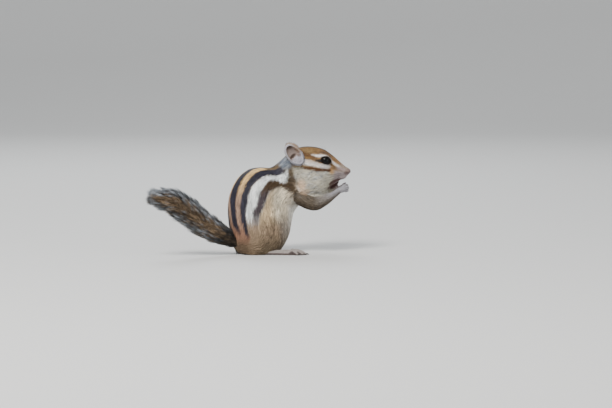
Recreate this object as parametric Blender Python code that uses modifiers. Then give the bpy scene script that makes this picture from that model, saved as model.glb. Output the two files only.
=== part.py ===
"""A life-size chipmunk that sits up on its haunches, both paws at its mouth and its tail held out behind.

Run it with blender --background --python part.py, or from the text editor.
Sizes are in millimetres and become metres where a mesh is made.
+X is the way the head faces, +Y is the animal's left and +Z is up, with the floor at Z = 0.
"""

import math
import random

import bmesh
import bpy
import numpy as np
from mathutils import Matrix, Vector

MM = 0.001
GAP = 0.32  # kept between touching nodes
HEAD_GAP = 0.44  # the same where the head's finer faces stand a little proud of the body's
REACH = 60.0  # half the depth of a cutter, wider than the animal
SIDE_NAMES = {-1: "right", 1: "left"}

# The trunk is turned about Z, its back partly towards -Y, while the head looks along +X.
TRUNK_YAW = math.radians(33)
TRUNK_ROUNDNESS = 2.15  # exponent of the trunk's outline seen from above; 2 is an ellipse
HEAD_Y = 8.0  # the head's middle plane

# Trunk: height, back and belly seen from the side, and half width across the back.
TRUNK_STATIONS = (
    (-1.5, -17.0, 4.0, 10.5),
    (0.5, -20.0, 9.0, 13.5),
    (4.0, -22.3, 12.5, 15.5),
    (9.0, -23.8, 15.5, 16.6),
    (15.0, -24.9, 17.8, 17.2),
    (22.0, -25.9, 19.0, 17.6),
    (31.0, -26.5, 20.8, 17.6),
    (38.0, -26.1, 21.5, 17.0),
    (44.0, -24.8, 21.0, 16.2),
    (50.0, -22.3, 18.5, 15.0),
    (54.0, -19.8, 15.5, 13.6),
    (57.5, -16.6, 12.0, 11.6),
    (60.3, -12.4, 7.8, 8.6),
    (61.7, -8.6, 3.6, 5.2),
)

# Skull without its pouches: distance along X, top, underside and half width.
HEAD_STATIONS = (
    (15.5, 68.0, 55.0, 6.5),
    (19.0, 72.4, 52.0, 9.8),
    (24.0, 75.6, 49.5, 11.6),
    (29.0, 76.5, 48.0, 12.3),
    (34.0, 76.4, 46.6, 12.2),
    (39.0, 75.6, 45.6, 11.5),
    (43.5, 74.0, 45.2, 10.3),
    (47.5, 71.3, 46.4, 8.6),
    (51.0, 68.3, 49.0, 7.0),
    (54.5, 65.1, 51.8, 5.5),
    (57.5, 62.4, 54.0, 4.4),
    (60.0, 60.6, 56.0, 3.2),
    (61.5, 59.6, 57.2, 1.9),
)

# Points of the head are given as X, distance from its middle plane and Z.
POUCH_CENTRE = (34.0, 6.6, 50.3)
POUCH_RADII = (13.2, 8.8, 11.3)
LIP_CENTRE = (54.0, 2.0, 55.5)
LIP_RADII = (5.0, 3.0, 3.0)
BROW_CENTRE = (42.0, 6.6, 69.2)
BROW_RADII = (7.0, 2.9, 3.0)
EYE_CENTRE = (43.4, 7.3, 66.5)
EYE_RADIUS = 4.0
ORBIT_RADIUS = 4.85  # the flesh round the eye
EYE_SLANT = math.radians(14)
EYE_FACES = (0.16, 1.0, 0.14)  # forwards, outwards and up
LID_STAND = 3.0  # how far the lids' ring lies outside the eye's middle
LID_HALF_LENGTH = 3.75
LID_HALF_HEIGHT = 3.05
LID_TUBE = 0.55
EYE_OPENING = (3.4, 2.7)  # half length and half height
OPENING_SPREAD = (0.82, 1.22)  # its size inside and outside the lids, as shares
OPENING_DEPTH = 6.0
EAR_CENTRE = (21.0, 13.1, 71.0)
EAR_HALF_HEIGHT = 8.6
EAR_HALF_WIDTH = 5.6
EAR_DEPTH = 4.4
EAR_FOLD_PLACE = (0.8, -5.0, -2.1)  # from the ear's middle: forwards, up and out
EAR_FOLD_RADII = (4.9, 4.9, 2.5)
EAR_WALL = 0.9
EAR_RIM = 0.27  # share of the depth by which the rim turns in past the widest place
EAR_UP = {-1: (-0.56, -0.12, 0.82), 1: (-0.64, 0.2, 0.74)}  # the left ear is held lower
EAR_FACES = (0.50, 0.86, 0.06)
NOSE_PAD_CENTRE = (60.4, 0.0, 58.6)
NOSE_PAD_RADII = (1.7, 2.3, 1.8)
NOSTRIL_CENTRE = (61.4, 1.25, 58.9)
NOSTRIL_RADII = (1.1, 0.45, 0.6)
CHIN_CENTRE = (48.6, 0.0, 45.7)
CHIN_RADII = (5.8, 3.9, 2.7)
MOUTH_LINE = ((58.0, 53.1), (54.2, 51.1), (51.0, 49.0), (48.2, 46.9))  # X and Z of the upper lip's edge
MOUTH_GAPE = 1.3  # at the front
MOUTH_CORNER_GAPE = 0.5
MOUTH_HALF_WIDTH = 7.5

NECK_PATH = ((-3, 0.5, 42), (5, 3.2, 47.6), (13, 6.2, 54.0), (22, 8, 61.0))
NECK_RADII = (14.0, 12.2, 11.0, 11.4)
CHEST_CENTRE = (16.5, 6.0, 41.5)
CHEST_RADII = (10.5, 13.0, 12.5)
SHOULDER_CENTRES = {-1: (18.5, -3.6, 43.0), 1: (15.0, 17.0, 43.0)}
SHOULDER_RADII = (10.5, 6.2, 8.0)
HAUNCH_CENTRE = (-4.0, 10.8, 17.5)  # along the trunk, across it, up
HAUNCH_RADII = (15.8, 9.6, 17.5)
HAUNCH_CUT_SCALE = 1.05

# Where the cuts meet, in X and Z: nape, throat, back and chin.
NAPE_TOP = (16.0, 95.0)
THROAT = (20.5, 45.5)
BACK_TOP = (1.0, 95.0)
NECK_FOOT = (9.5, 45.5)
CHIN_CORNER = (35.0, 36.5)
FRONT = 95.0
REAR = -60.0

# The right arm and the left one, from inside the shoulder over the elbow to the wrist.
FORELEG_PATHS = {
    -1: ((17, -3.4, 43.5), (24, -5.8, 40.4), (30.5, -7.2, 37.0), (36.5, -7.0, 35.4), (43.6, -4.0, 38.4),
         (49.8, -0.2, 42.2), (54.0, 2.0, 45.0)),
    1: ((14, 17.0, 43.5), (20, 19.5, 40.6), (27.5, 21.6, 37.0), (34.0, 21.2, 35.6), (41.5, 18.6, 38.2),
        (48.6, 15.6, 42.2), (53.8, 14.0, 45.0)),
}
FORELEG_RADII = (5.0, 5.2, 4.8, 4.4, 3.6, 2.6, 2.1)

WRIST = (53.8, 6.0, 45.0)
PAW_WAY = (0.92, -0.16, 0.36)  # forwards, outwards and up
PAW_LENGTH = 4.6
PALM_RADII = (1.8, 2.4, 2.1)
PALM_FLATNESS = 0.72
FINGER_LENGTHS = (3.4, 4.2, 4.4, 3.6)
FINGER_RADIUS = 0.85
FINGER_TAPER = (1.1, 1.0, 0.9, 0.72)
FINGER_BEND = ((0.0, 0.0), (0.45, 0.08), (0.64, 0.4), (0.5, 0.68))  # shares forwards and inwards
FINGER_FAN = 0.16
KNUCKLE_SPREAD = 2.0
PAW_CLAW_RADII = (0.45, 0.36, 0.14)

FOOT_LENGTH = 34.0
FOOT_PLACES = {-1: ((-2.5, -13.6), math.radians(-3)), 1: ((-14.0, 5.0), math.radians(50))}  # heel and heading
FOOT_HALF_WIDTH = 3.1
FOOT_TOE_LENGTHS = (4.6, 7.6, 8.6, 7.8, 5.0)  # from the inner toe outwards
SOLE_HEIGHTS = (1.5, 1.4, 1.3, 1.1)
SOLE_RADII = (2.2, 2.5, 3.1, 3.0)
SOLE_FLATNESS = 0.74
TOE_HEIGHTS = (1.3, 3.0, 2.1, 0.75)  # along one toe: root, knuckle, last joint, tip
TOE_RADIUS = 1.1
TOE_TAPER = (1.1, 1.0, 0.85, 0.8)
TOE_FAN = 0.24
CLAW_LENGTH = 2.6
CLAW_RADIUS = 0.55
CLAW_CURVE = ((-0.3, 0.0), (0.4, 0.0), (0.75, 0.08), (1.0, 0.2))  # shares forwards and down
CLAW_TAPER = (1.0, 0.9, 0.65, 0.3)

TAIL_PATH = ((-10.0, -6.5, 9.0), (-17.5, -10.5, 9.0), (-24.1, -13.4, 10.9), (-31.5, -16.8, 15.2),
             (-39.3, -20.2, 20.0), (-48.4, -24.2, 26.8), (-57.1, -28.0, 33.8), (-65.8, -31.6, 40.1),
             (-74.0, -34.9, 42.3))
TAIL_CORE_RADII = (4.8, 4.7, 4.6, 4.6, 4.8, 4.9, 4.7, 3.8, 1.6)
TAIL_ACROSS = (-0.4, 0.92, 0.0)  # the way in which core and brush are narrower
TAIL_TIP_HAIR = 10.0  # how far the hair reaches past the bone
TAIL_BRUSH_FLATNESS = 0.72  # the brush's depth as a share of its height
# Height of the brush over and under the bone, at shares of its whole length.
TAIL_BRUSH_SHARES = (0.0, 0.17, 0.24, 0.34, 0.46, 0.58, 0.7, 0.82, 0.9, 0.96, 1.0)
TAIL_BRUSH_HALF_HEIGHTS = (5.0, 7.6, 8.4, 9.9, 11.0, 11.7, 11.7, 10.6, 8.8, 6.0, 0.6)
TAIL_FIRST_LOCKS = 9.0
TAIL_LOCK_ROWS = 9
TAIL_LOCKS_AROUND = 8
TAIL_LOCK_LENGTH = 19.0
TAIL_LOCK_RISE = 2.3  # how soon a lock leaves the bone; higher is sooner
TAIL_LOCK_LEAN = 0.86  # share of its length that a lock runs along the bone
TAIL_LOCK_HALF_WIDTH = 3.3
TAIL_LOCK_HALF_THICKNESS = 0.6
TAIL_LOCK_SHAPE = ((0.0, 0.6), (0.38, 1.0), (0.76, 0.68), (1.0, 0.08))  # share of the length, share of the width
TAIL_SEED = 7

VOXEL = 0.75  # size of the remesh that blends the body
FINE_VOXEL = 0.36  # the same for feet and paws

# Triangles that the whole body would have at each node's fineness, and those of the small parts.
HEAD_FINENESS = 4100
BODY_FINENESS = 1950
FORELEG_TRIANGLES = 290
FOOT_TRIANGLES = 230
PAW_TRIANGLES = 250

SHARP_ANGLE = math.radians(50)
FUR_ROUGHNESS = 0.85
# Base colour and roughness of each node.
FINISHES = {
    "head": ((0.46, 0.35, 0.24), FUR_ROUGHNESS),
    "neck": ((0.34, 0.28, 0.22), FUR_ROUGHNESS),
    "torso": ((0.42, 0.32, 0.22), FUR_ROUGHNESS),
    "hind_leg": ((0.40, 0.31, 0.21), FUR_ROUGHNESS),
    "hind_foot": ((0.50, 0.42, 0.36), 0.7),
    "foreleg": ((0.33, 0.29, 0.25), FUR_ROUGHNESS),
    "forepaw": ((0.62, 0.58, 0.56), 0.7),
    "ear": ((0.44, 0.36, 0.32), 0.75),
    "eye": ((0.012, 0.010, 0.010), 0.08),
    "tail": ((0.26, 0.23, 0.17), FUR_ROUGHNESS),
}


def clear_scene():
    """Removes what the start-up file holds."""
    for obj in list(bpy.data.objects):
        bpy.data.objects.remove(obj)


def collection_of(name):
    """A new collection in the scene."""
    found = bpy.data.collections.new(name)
    bpy.context.scene.collection.children.link(found)
    return found


def object_from(name, bm, group):
    """A mesh object made from bm, whose points are in millimetres."""
    bmesh.ops.scale(bm, vec=(MM, MM, MM), verts=bm.verts)
    bmesh.ops.recalc_face_normals(bm, faces=bm.faces)
    mesh = bpy.data.meshes.new(name)
    bm.to_mesh(mesh)
    bm.free()
    obj = bpy.data.objects.new(name, mesh)
    group.objects.link(obj)
    return obj


def smooth_rows(rows, count):
    """count rows along the Catmull-Rom curve through the given rows."""
    points = np.array(rows, float)
    padded = np.vstack((2 * points[0] - points[1], points, 2 * points[-1] - points[-2]))
    found = []
    for place in np.linspace(0, len(points) - 1, count):
        i = min(int(place), len(points) - 2)
        t = place - i
        a, b, c, d = padded[i : i + 4]
        found.append(0.5 * (2 * b + (c - a) * t + (2 * a - 5 * b + 4 * c - d) * t**2
                            + (3 * b - a - 3 * c + d) * t**3))
    return found


def loft(name, rings, group):
    """A closed skin through rings that have the same number of points, with flat ends."""
    bm = bmesh.new()
    loops = [[bm.verts.new(point) for point in ring] for ring in rings]
    around = len(loops[0])
    for low, high in zip(loops, loops[1:]):
        for i in range(around):
            j = (i + 1) % around
            bm.faces.new((low[i], low[j], high[j], high[i]))
    bm.faces.new(loops[0][::-1])
    bm.faces.new(loops[-1])
    return object_from(name, bm, group)


def ellipsoid(name, centre, radii, group, turn=None, segments=28, rings=18):
    """An ellipsoid, turned by a matrix if one is given."""
    bm = bmesh.new()
    bmesh.ops.create_uvsphere(bm, u_segments=segments, v_segments=rings, radius=1.0)
    place = Matrix.Translation(centre) @ (turn or Matrix()) @ Matrix.Diagonal((*radii, 1.0))
    bmesh.ops.transform(bm, matrix=place, verts=bm.verts)
    return object_from(name, bm, group)


def limb(name, points, radii, group, around=14, steps=None, flat=1.0, flat_axis=(0, 0, 1), dome=3):
    """A tapered round limb along a smooth path; flat squeezes it along flat_axis, and dome rings round each end."""
    steps = steps or 5 * len(points)
    rows = smooth_rows([(*p, r) for p, r in zip(points, radii)], steps)
    path = [Vector(row[:3]) for row in rows]
    rings = []
    squeeze = Vector(flat_axis).normalized()
    for i, (centre, row) in enumerate(zip(path, rows)):
        along = (path[min(i + 1, steps - 1)] - path[max(i - 1, 0)]).normalized()
        across = along.cross(squeeze)
        across = (across if across.length > 0.05 else along.orthogonal()).normalized()
        up = across.cross(along)
        domes = [(centre, row[3])]
        if i in (0, steps - 1):
            side = -along if i == 0 else along
            domes += [(centre + side * row[3] * math.sin(a), row[3] * math.cos(a))
                      for a in np.linspace(0, 1.42, dome + 1)[1:]]
            domes = domes[::-1] if i == 0 else domes
        for middle, radius in domes:
            rings.append([middle + across * radius * math.cos(a) + up * radius * flat * math.sin(a)
                          for a in np.linspace(0, math.tau, around, endpoint=False)])
    return loft(name, rings, group)


def evaluated_copy(obj, name, group):
    """A new object that holds obj's mesh as its modifiers leave it; obj is removed."""
    graph = bpy.context.evaluated_depsgraph_get()
    mesh = bpy.data.meshes.new_from_object(obj.evaluated_get(graph))
    made = bpy.data.objects.new(name, mesh)
    group.objects.link(made)
    bpy.data.objects.remove(obj)
    return made


def joined(name, pieces, group):
    """The pieces' meshes in one object, not yet fused."""
    bm = bmesh.new()
    for piece in pieces:
        bm.from_mesh(piece.data)
        bpy.data.objects.remove(piece)
    mesh = bpy.data.meshes.new(name)
    bm.to_mesh(mesh)
    bm.free()
    obj = bpy.data.objects.new(name, mesh)
    group.objects.link(obj)
    return obj


def blended(name, pieces, voxel, smoothing, group):
    """The pieces fused by a voxel remesh, with their joints smoothed."""
    obj = joined(name, pieces, group)
    remesh = obj.modifiers.new("Blend", "REMESH")
    remesh.mode = "VOXEL"
    remesh.voxel_size = voxel * MM
    smooth = obj.modifiers.new("Soften", "SMOOTH")
    smooth.factor = 0.5
    smooth.iterations = smoothing
    bpy.context.view_layer.update()
    return evaluated_copy(obj, name, group)


def copied(obj, name, group):
    """A copy of obj with a mesh of its own."""
    made = bpy.data.objects.new(name, obj.data.copy())
    group.objects.link(made)
    return made


def thinned(obj, name, triangles, group):
    """obj with only about that many triangles."""
    obj.data.calc_loop_triangles()
    decimate = obj.modifiers.new("Thin", "DECIMATE")
    decimate.ratio = min(1.0, triangles / len(obj.data.loop_triangles))
    bpy.context.view_layer.update()
    return evaluated_copy(obj, name, group)


def grown(obj, name, distance, group):
    """A copy of obj whose surface lies that much further out."""
    bm = bmesh.new()
    bm.from_mesh(obj.data)
    bm.normal_update()
    for vert in bm.verts:
        vert.co += vert.normal * distance * MM
    mesh = bpy.data.meshes.new(name)
    bm.to_mesh(mesh)
    bm.free()
    made = bpy.data.objects.new(name, mesh)
    group.objects.link(made)
    return made


def carve(obj, other, operation, group, solver="EXACT"):
    """obj after a Boolean with other, which stays."""
    name = obj.name
    boolean = obj.modifiers.new("Cut", "BOOLEAN")
    boolean.operation = operation
    boolean.solver = solver
    boolean.object = other
    bpy.context.view_layer.update()
    obj.name = name + "_before"
    made = evaluated_copy(obj, name, group)
    made.name = name
    return made


def largest_shell(obj):
    """Keeps only the closed surface of obj that holds the most."""
    bm = bmesh.new()
    bm.from_mesh(obj.data)
    bmesh.ops.triangulate(bm, faces=bm.faces)
    left = set(bm.faces)
    shells = []
    while left:
        stack = [left.pop()]
        shell = list(stack)
        while stack:
            for edge in stack.pop().edges:
                for face in edge.link_faces:
                    if face in left:
                        left.remove(face)
                        stack.append(face)
                        shell.append(face)
        shells.append(shell)
    volume = [sum(f.calc_center_median().dot(f.normal) * f.calc_area() for f in shell) for shell in shells]
    keep = shells[volume.index(max(volume))]
    drop = [face for shell in shells if shell is not keep for face in shell]
    bmesh.ops.delete(bm, geom=drop, context="FACES")
    bmesh.ops.delete(bm, geom=[v for v in bm.verts if not v.link_faces], context="VERTS")
    bm.to_mesh(obj.data)
    bm.free()


def prism(name, outline, group, near=-REACH, far=REACH):
    """A solid with that outline in X and Z between two values of Y."""
    rings = [[Vector((x, y, z)) for x, z in outline] for y in (near, far)]
    return loft(name, rings, group)


def inset(outline, distance):
    """An outline that runs anticlockwise, with each of its sides moved in by that much."""
    points = [Vector(point) for point in outline]
    moved = []
    for before, point, after in zip(points[-1:] + points[:-1], points, points[1:] + points[:1]):
        came, goes = (point - before).normalized(), (after - point).normalized()
        inward, following = Vector((-came.y, came.x)), Vector((-goes.y, goes.x))
        moved.append(point + (inward + following) * distance / (1 + inward.dot(following)))
    return moved


def on_trunk(forward, left, up):
    """A point given along the turned trunk, across it and up, in the model's frame."""
    c, s = math.cos(TRUNK_YAW), math.sin(TRUNK_YAW)
    return Vector((forward * c - left * s, forward * s + left * c, up))


def trunk(group):
    """The egg of back, flanks and belly, from level rings that fill the outline seen from the side."""
    c, s = math.cos(TRUNK_YAW), math.sin(TRUNK_YAW)
    rings = []
    for height, back, belly, half_width in smooth_rows(TRUNK_STATIONS, 48):
        middle = (back + belly) / 2 / c
        seen = (belly - back) / 2
        half_depth = math.sqrt(max(seen**2 - (half_width * s) ** 2, 1.0)) / c
        ring = []
        for angle in np.linspace(0, math.tau, 48, endpoint=False):
            ca, sa = math.cos(angle), math.sin(angle)
            along = math.copysign(abs(ca) ** (2 / TRUNK_ROUNDNESS), ca) * half_depth
            across = math.copysign(abs(sa) ** (2 / TRUNK_ROUNDNESS), sa) * half_width
            ring.append(on_trunk(middle + along, across, height))
        rings.append(ring)
    return loft("trunk", rings, group)


def skull(group):
    """The head from the nape to the nose, from upright rings."""
    rings = []
    for x, top, under, half_width in smooth_rows(HEAD_STATIONS, 44):
        middle, half_height = (top + under) / 2, (top - under) / 2
        rings.append([Vector((x, HEAD_Y + half_width * math.cos(a), middle + half_height * math.sin(a)))
                      for a in np.linspace(0, math.tau, 40, endpoint=False)])
    return loft("skull", rings, group)


def pitch(degrees):
    """A turn that lowers the front by that much."""
    return Matrix.Rotation(math.radians(degrees), 4, "Y")


def side_of(sign, x, off, z):
    """A point of the head, off its middle plane on the left for sign 1 or on the right for sign -1."""
    return Vector((x, HEAD_Y + sign * off, z))


def body_pieces(group):
    """Everything that the trunk, neck, head and haunches are blended from."""
    pieces = [trunk(group), skull(group)]
    pieces.append(limb("neck_flesh", NECK_PATH, NECK_RADII, group, around=28))
    pieces.append(ellipsoid("chest", CHEST_CENTRE, CHEST_RADII, group))
    pieces.append(ellipsoid("nose_pad", side_of(1, *NOSE_PAD_CENTRE), NOSE_PAD_RADII, group))
    pieces.append(ellipsoid("chin", side_of(1, *CHIN_CENTRE), CHIN_RADII, group, turn=pitch(-30)))
    for sign in (-1, 1):
        pieces.append(ellipsoid("pouch", side_of(sign, *POUCH_CENTRE), POUCH_RADII, group, turn=pitch(16)))
        pieces.append(ellipsoid("lip", side_of(sign, *LIP_CENTRE), LIP_RADII, group, turn=pitch(24)))
        pieces.append(ellipsoid("brow", side_of(sign, *BROW_CENTRE), BROW_RADII, group, turn=pitch(18)))
        pieces.append(ellipsoid("orbit", side_of(sign, *EYE_CENTRE), [ORBIT_RADIUS] * 3, group))
        pieces.append(ellipsoid("shoulder", SHOULDER_CENTRES[sign], SHOULDER_RADII, group, turn=pitch(35)))
        pieces.append(haunch(sign, 1.0, group))
    return pieces


def haunch(sign, scale, group, segments=28):
    """The thigh's round mass, on the left for sign 1."""
    along, across, up = HAUNCH_CENTRE
    radii = [radius * scale for radius in HAUNCH_RADII]
    turn = Matrix.Rotation(TRUNK_YAW, 4, "Z")
    return ellipsoid("haunch", on_trunk(along, sign * across, up), radii, group, turn=turn, segments=segments,
                     rings=segments * 5 // 8)


def oval_ring(name, place, half_length, half_height, tube, group):
    """A ring of round section, drawn out to an oval and set in place by a matrix."""
    bm = bmesh.new()
    profile = bmesh.ops.create_circle(bm, segments=6, radius=tube)["verts"]
    upright = Matrix.Translation((half_height, 0, 0)) @ Matrix.Rotation(math.pi / 2, 4, "X")
    bmesh.ops.transform(bm, matrix=upright, verts=profile)
    bmesh.ops.spin(bm, geom=bm.edges[:], axis=(0, 0, 1), angle=math.tau, steps=18, use_merge=True)
    stretch = Matrix.Diagonal((half_length / half_height, 1, 1, 1))
    bmesh.ops.transform(bm, matrix=place @ stretch, verts=bm.verts)
    return object_from(name, bm, group)


def eye(sign, radius, segments, group):
    """The eyeball, its poles facing sideways."""
    return ellipsoid(f"eye_{SIDE_NAMES[sign]}", side_of(sign, *EYE_CENTRE), [radius] * 3, group,
                     turn=Matrix.Rotation(math.pi / 2, 4, "X"), segments=segments, rings=segments // 2)


def eye_place(sign, stand):
    """Where the lids are: X along the opening, Y up it and Z out of the head, that far from the eye's middle."""
    out = Vector((EYE_FACES[0], sign * EYE_FACES[1], EYE_FACES[2])).normalized()
    along = Vector((math.cos(EYE_SLANT), 0, -math.sin(EYE_SLANT)))
    along = (along - out * along.dot(out)).normalized()
    turn = Matrix((along, out.cross(along), out)).transposed().to_4x4()
    return Matrix.Translation(side_of(sign, *EYE_CENTRE) + out * stand) @ turn


def lid_ridge(sign, group):
    """The thick edge of both lids, as one oval ring."""
    return oval_ring("lids", eye_place(sign, LID_STAND), LID_HALF_LENGTH, LID_HALF_HEIGHT, LID_TUBE, group)


def eye_opening(sign, group):
    """A cutter for the opening between the lids, a little wider outwards."""
    bm = bmesh.new()
    inner, outer = OPENING_SPREAD
    bmesh.ops.create_cone(bm, segments=20, cap_ends=True, radius1=inner, radius2=outer, depth=OPENING_DEPTH)
    shape = Matrix.Diagonal((*EYE_OPENING, 1.0, 1.0))
    bmesh.ops.transform(bm, matrix=eye_place(sign, LID_STAND) @ shape, verts=bm.verts)
    return object_from("opening", bm, group)


def ear(sign, group):
    """A cupped shell with a closed rim, its opening outwards and forwards, and a fold of flesh at its foot."""
    up = Vector(EAR_UP[sign]).normalized()
    out = Vector((EAR_FACES[0], sign * EAR_FACES[1], EAR_FACES[2]))
    out = (out - up * out.dot(up)).normalized()
    turn = Matrix((up.cross(out), up, out)).transposed().to_4x4()
    place = Matrix.Translation(side_of(sign, *EAR_CENTRE)) @ turn
    bm = bmesh.new()
    bmesh.ops.create_uvsphere(bm, u_segments=16, v_segments=12, radius=1.0)
    bmesh.ops.delete(bm, geom=[v for v in bm.verts if v.co.z > EAR_RIM], context="VERTS")
    shape = Matrix.Diagonal((EAR_HALF_WIDTH, EAR_HALF_HEIGHT, EAR_DEPTH, 1.0))
    bmesh.ops.transform(bm, matrix=place @ shape, verts=bm.verts)
    shell = object_from("ear_shell", bm, group)
    wall = shell.modifiers.new("Wall", "SOLIDIFY")
    wall.thickness = EAR_WALL * MM
    wall.offset = -1.0
    bpy.context.view_layer.update()
    shell = evaluated_copy(shell, "ear_shell", group)
    forwards, upwards, outwards = EAR_FOLD_PLACE
    fold = ellipsoid("fold", place @ Vector((-sign * forwards, upwards, outwards)), EAR_FOLD_RADII, group,
                     turn=turn, segments=10, rings=8)
    return fused(f"ear_{SIDE_NAMES[sign]}", [shell, fold], group)


def mouth_cutter(group):
    """The slit between the lips, from below the nose back to the corner of the mouth."""
    upper = smooth_rows(MOUTH_LINE, 12)
    gapes = np.linspace(MOUTH_GAPE, MOUTH_CORNER_GAPE, len(upper))
    lower = [(x + 0.3 * gape, z - gape) for (x, z), gape in zip(upper, gapes)]
    outline = [tuple(point) for point in upper] + lower[::-1]
    return prism("mouth", outline, group, HEAD_Y - MOUTH_HALF_WIDTH, HEAD_Y + MOUTH_HALF_WIDTH)


def nostril(sign, group):
    """A slit that runs from the front of the nose round to its side."""
    return ellipsoid("nostril", side_of(sign, *NOSTRIL_CENTRE), NOSTRIL_RADII, group,
                     turn=Matrix.Rotation(sign * math.radians(38), 4, "Z"), segments=10, rings=6)


def claw(root, along, group):
    """A curved claw that starts at root, goes along and turns down."""
    along = Vector(along).normalized()
    down = Vector((0, 0, -1))
    points = [root + (along * reach + down * drop) * CLAW_LENGTH for reach, drop in CLAW_CURVE]
    radii = [CLAW_RADIUS * share for share in CLAW_TAPER]
    return limb("claw", points, radii, group, around=5, steps=4, dome=1)


def hind_foot(sign, group):
    """A long narrow foot, flat on the floor, with five toes and their claws."""
    heel, yaw = FOOT_PLACES[sign]
    heel = Vector((*heel, 0))
    up = Vector((0, 0, 1))
    along = Vector((math.cos(yaw), math.sin(yaw), 0))
    across = up.cross(along) * sign
    ball = FOOT_LENGTH - FOOT_TOE_LENGTHS[2] - CLAW_LENGTH
    sole = [heel + along * share * ball + up * height for share, height in zip((0, 0.45, 0.8, 1), SOLE_HEIGHTS)]
    pieces = [limb("sole", sole, SOLE_RADII, group, around=16, flat=SOLE_FLATNESS)]
    claws = []
    for number, length in enumerate(FOOT_TOE_LENGTHS):
        spread = (number - 2) / 2
        start = heel + along * (ball - 1.2 - 1.8 * abs(spread)) + across * spread * FOOT_HALF_WIDTH * 0.8
        way = (along + across * spread * TOE_FAN).normalized()
        points = [start + way * share * (length + 1.2) + up * height
                  for share, height in zip((0, 0.4, 0.72, 1.0), TOE_HEIGHTS)]
        radii = [TOE_RADIUS * share for share in TOE_TAPER]
        pieces.append(limb("toe", points, radii, group, around=10, steps=8))
        claws.append(claw(points[-1] + way * 0.3, way, group))
    foot = blended("foot", pieces, FINE_VOXEL, 2, group)
    foot = thinned(foot, "foot", FOOT_TRIANGLES, group)
    return fused(f"hind_foot_{SIDE_NAMES[sign]}", [foot] + claws, group)


def forepaw(sign, group):
    """A small hand at the mouth, its four fingers bent in towards the other hand."""
    wrist = side_of(sign, *WRIST)
    along = Vector((PAW_WAY[0], sign * PAW_WAY[1], PAW_WAY[2])).normalized()
    inward = Vector((0, -sign, 0))
    inward = (inward - along * inward.dot(along)).normalized()
    spread = inward.cross(along) * sign
    palm = [wrist - along * 1.5, wrist + along * 0.5 * PAW_LENGTH, wrist + along * PAW_LENGTH]
    pieces = [limb("palm", palm, PALM_RADII, group, around=14, flat=PALM_FLATNESS,
                   flat_axis=inward)]
    claws = []
    for number, length in enumerate(FINGER_LENGTHS):
        off = (number - 1.5) / 1.5
        knuckle = wrist + along * (PAW_LENGTH - 0.4 - 0.5 * abs(off)) + spread * off * KNUCKLE_SPREAD
        fan = (along + spread * off * FINGER_FAN).normalized()
        points = [knuckle + (fan * forward + inward * bend) * length for forward, bend in FINGER_BEND]
        radii = [FINGER_RADIUS * share for share in FINGER_TAPER]
        pieces.append(limb("finger", points, radii, group, around=10, steps=8))
        way = (inward * 0.8 - fan * 0.6).normalized()
        tip = points[-1]
        nail = [tip - way * 0.4, tip + way * 0.55, tip + way * 1.2 - fan * 0.3]
        claws.append(limb("nail", nail, PAW_CLAW_RADII, group, around=5, steps=3, dome=1))
    paw = blended("paw", pieces, FINE_VOXEL * 0.9, 2, group)
    paw = thinned(paw, "paw", PAW_TRIANGLES, group)
    return fused(f"forepaw_{SIDE_NAMES[sign]}", [paw] + claws, group)


def foreleg(sign, group):
    """Upper arm, elbow and forearm down to the wrist."""
    arm = limb("arm", FORELEG_PATHS[sign], FORELEG_RADII, group, around=20, steps=24)
    arm = blended("arm", [arm], VOXEL * 0.8, 3, group)
    return thinned(arm, f"foreleg_{SIDE_NAMES[sign]}", FORELEG_TRIANGLES, group)


def fused(name, pieces, group):
    """The pieces joined by one Boolean union, as one closed mesh."""
    base, others = pieces[0], pieces[1:]
    added = collection_of("added")
    for piece in others:
        group.objects.unlink(piece)
        added.objects.link(piece)
    union = base.modifiers.new("Join", "BOOLEAN")
    union.operation = "UNION"
    union.solver = "MANIFOLD"
    union.operand_type = "COLLECTION"
    union.collection = added
    bpy.context.view_layer.update()
    made = evaluated_copy(base, name, group)
    for piece in list(added.objects):
        bpy.data.objects.remove(piece)
    bpy.data.collections.remove(added)
    made.name = name
    largest_shell(made)
    return made


class TailLine:
    """The tail's bone as a smooth line, with directions up and sideways along it."""

    def __init__(self):
        rows = smooth_rows(TAIL_PATH, 120)
        self.points = [Vector(row) for row in rows]
        steps = [(b - a).length for a, b in zip(self.points, self.points[1:])]
        self.places = np.concatenate(([0.0], np.cumsum(steps)))
        self.length = float(self.places[-1])

    def frame(self, place):
        """Point, direction, up and side at a distance along the bone; past its end the line runs straight on."""
        inside = min(max(place, 0.0), self.length)
        i = min(int(np.searchsorted(self.places, inside)), len(self.points) - 1)
        i = max(i, 1)
        a, b = self.points[i - 1], self.points[i]
        t = (inside - self.places[i - 1]) / (self.places[i] - self.places[i - 1])
        along = (self.points[min(i + 3, len(self.points) - 1)] - self.points[max(i - 4, 0)]).normalized()
        up = (Vector((0, 0, 1)) - along * along.z).normalized()
        return a.lerp(b, t) + along * (place - inside), along, up, along.cross(up)


def brush_radius(line, place, angle):
    """How far the hair tips lie from the bone there; angle 0 is up."""
    share = place / (line.length + TAIL_TIP_HAIR)
    half_height = float(np.interp(share, TAIL_BRUSH_SHARES, TAIL_BRUSH_HALF_HEIGHTS))
    half_depth = half_height * TAIL_BRUSH_FLATNESS
    return half_height * half_depth / math.hypot(half_depth * math.cos(angle), half_height * math.sin(angle))


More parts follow.
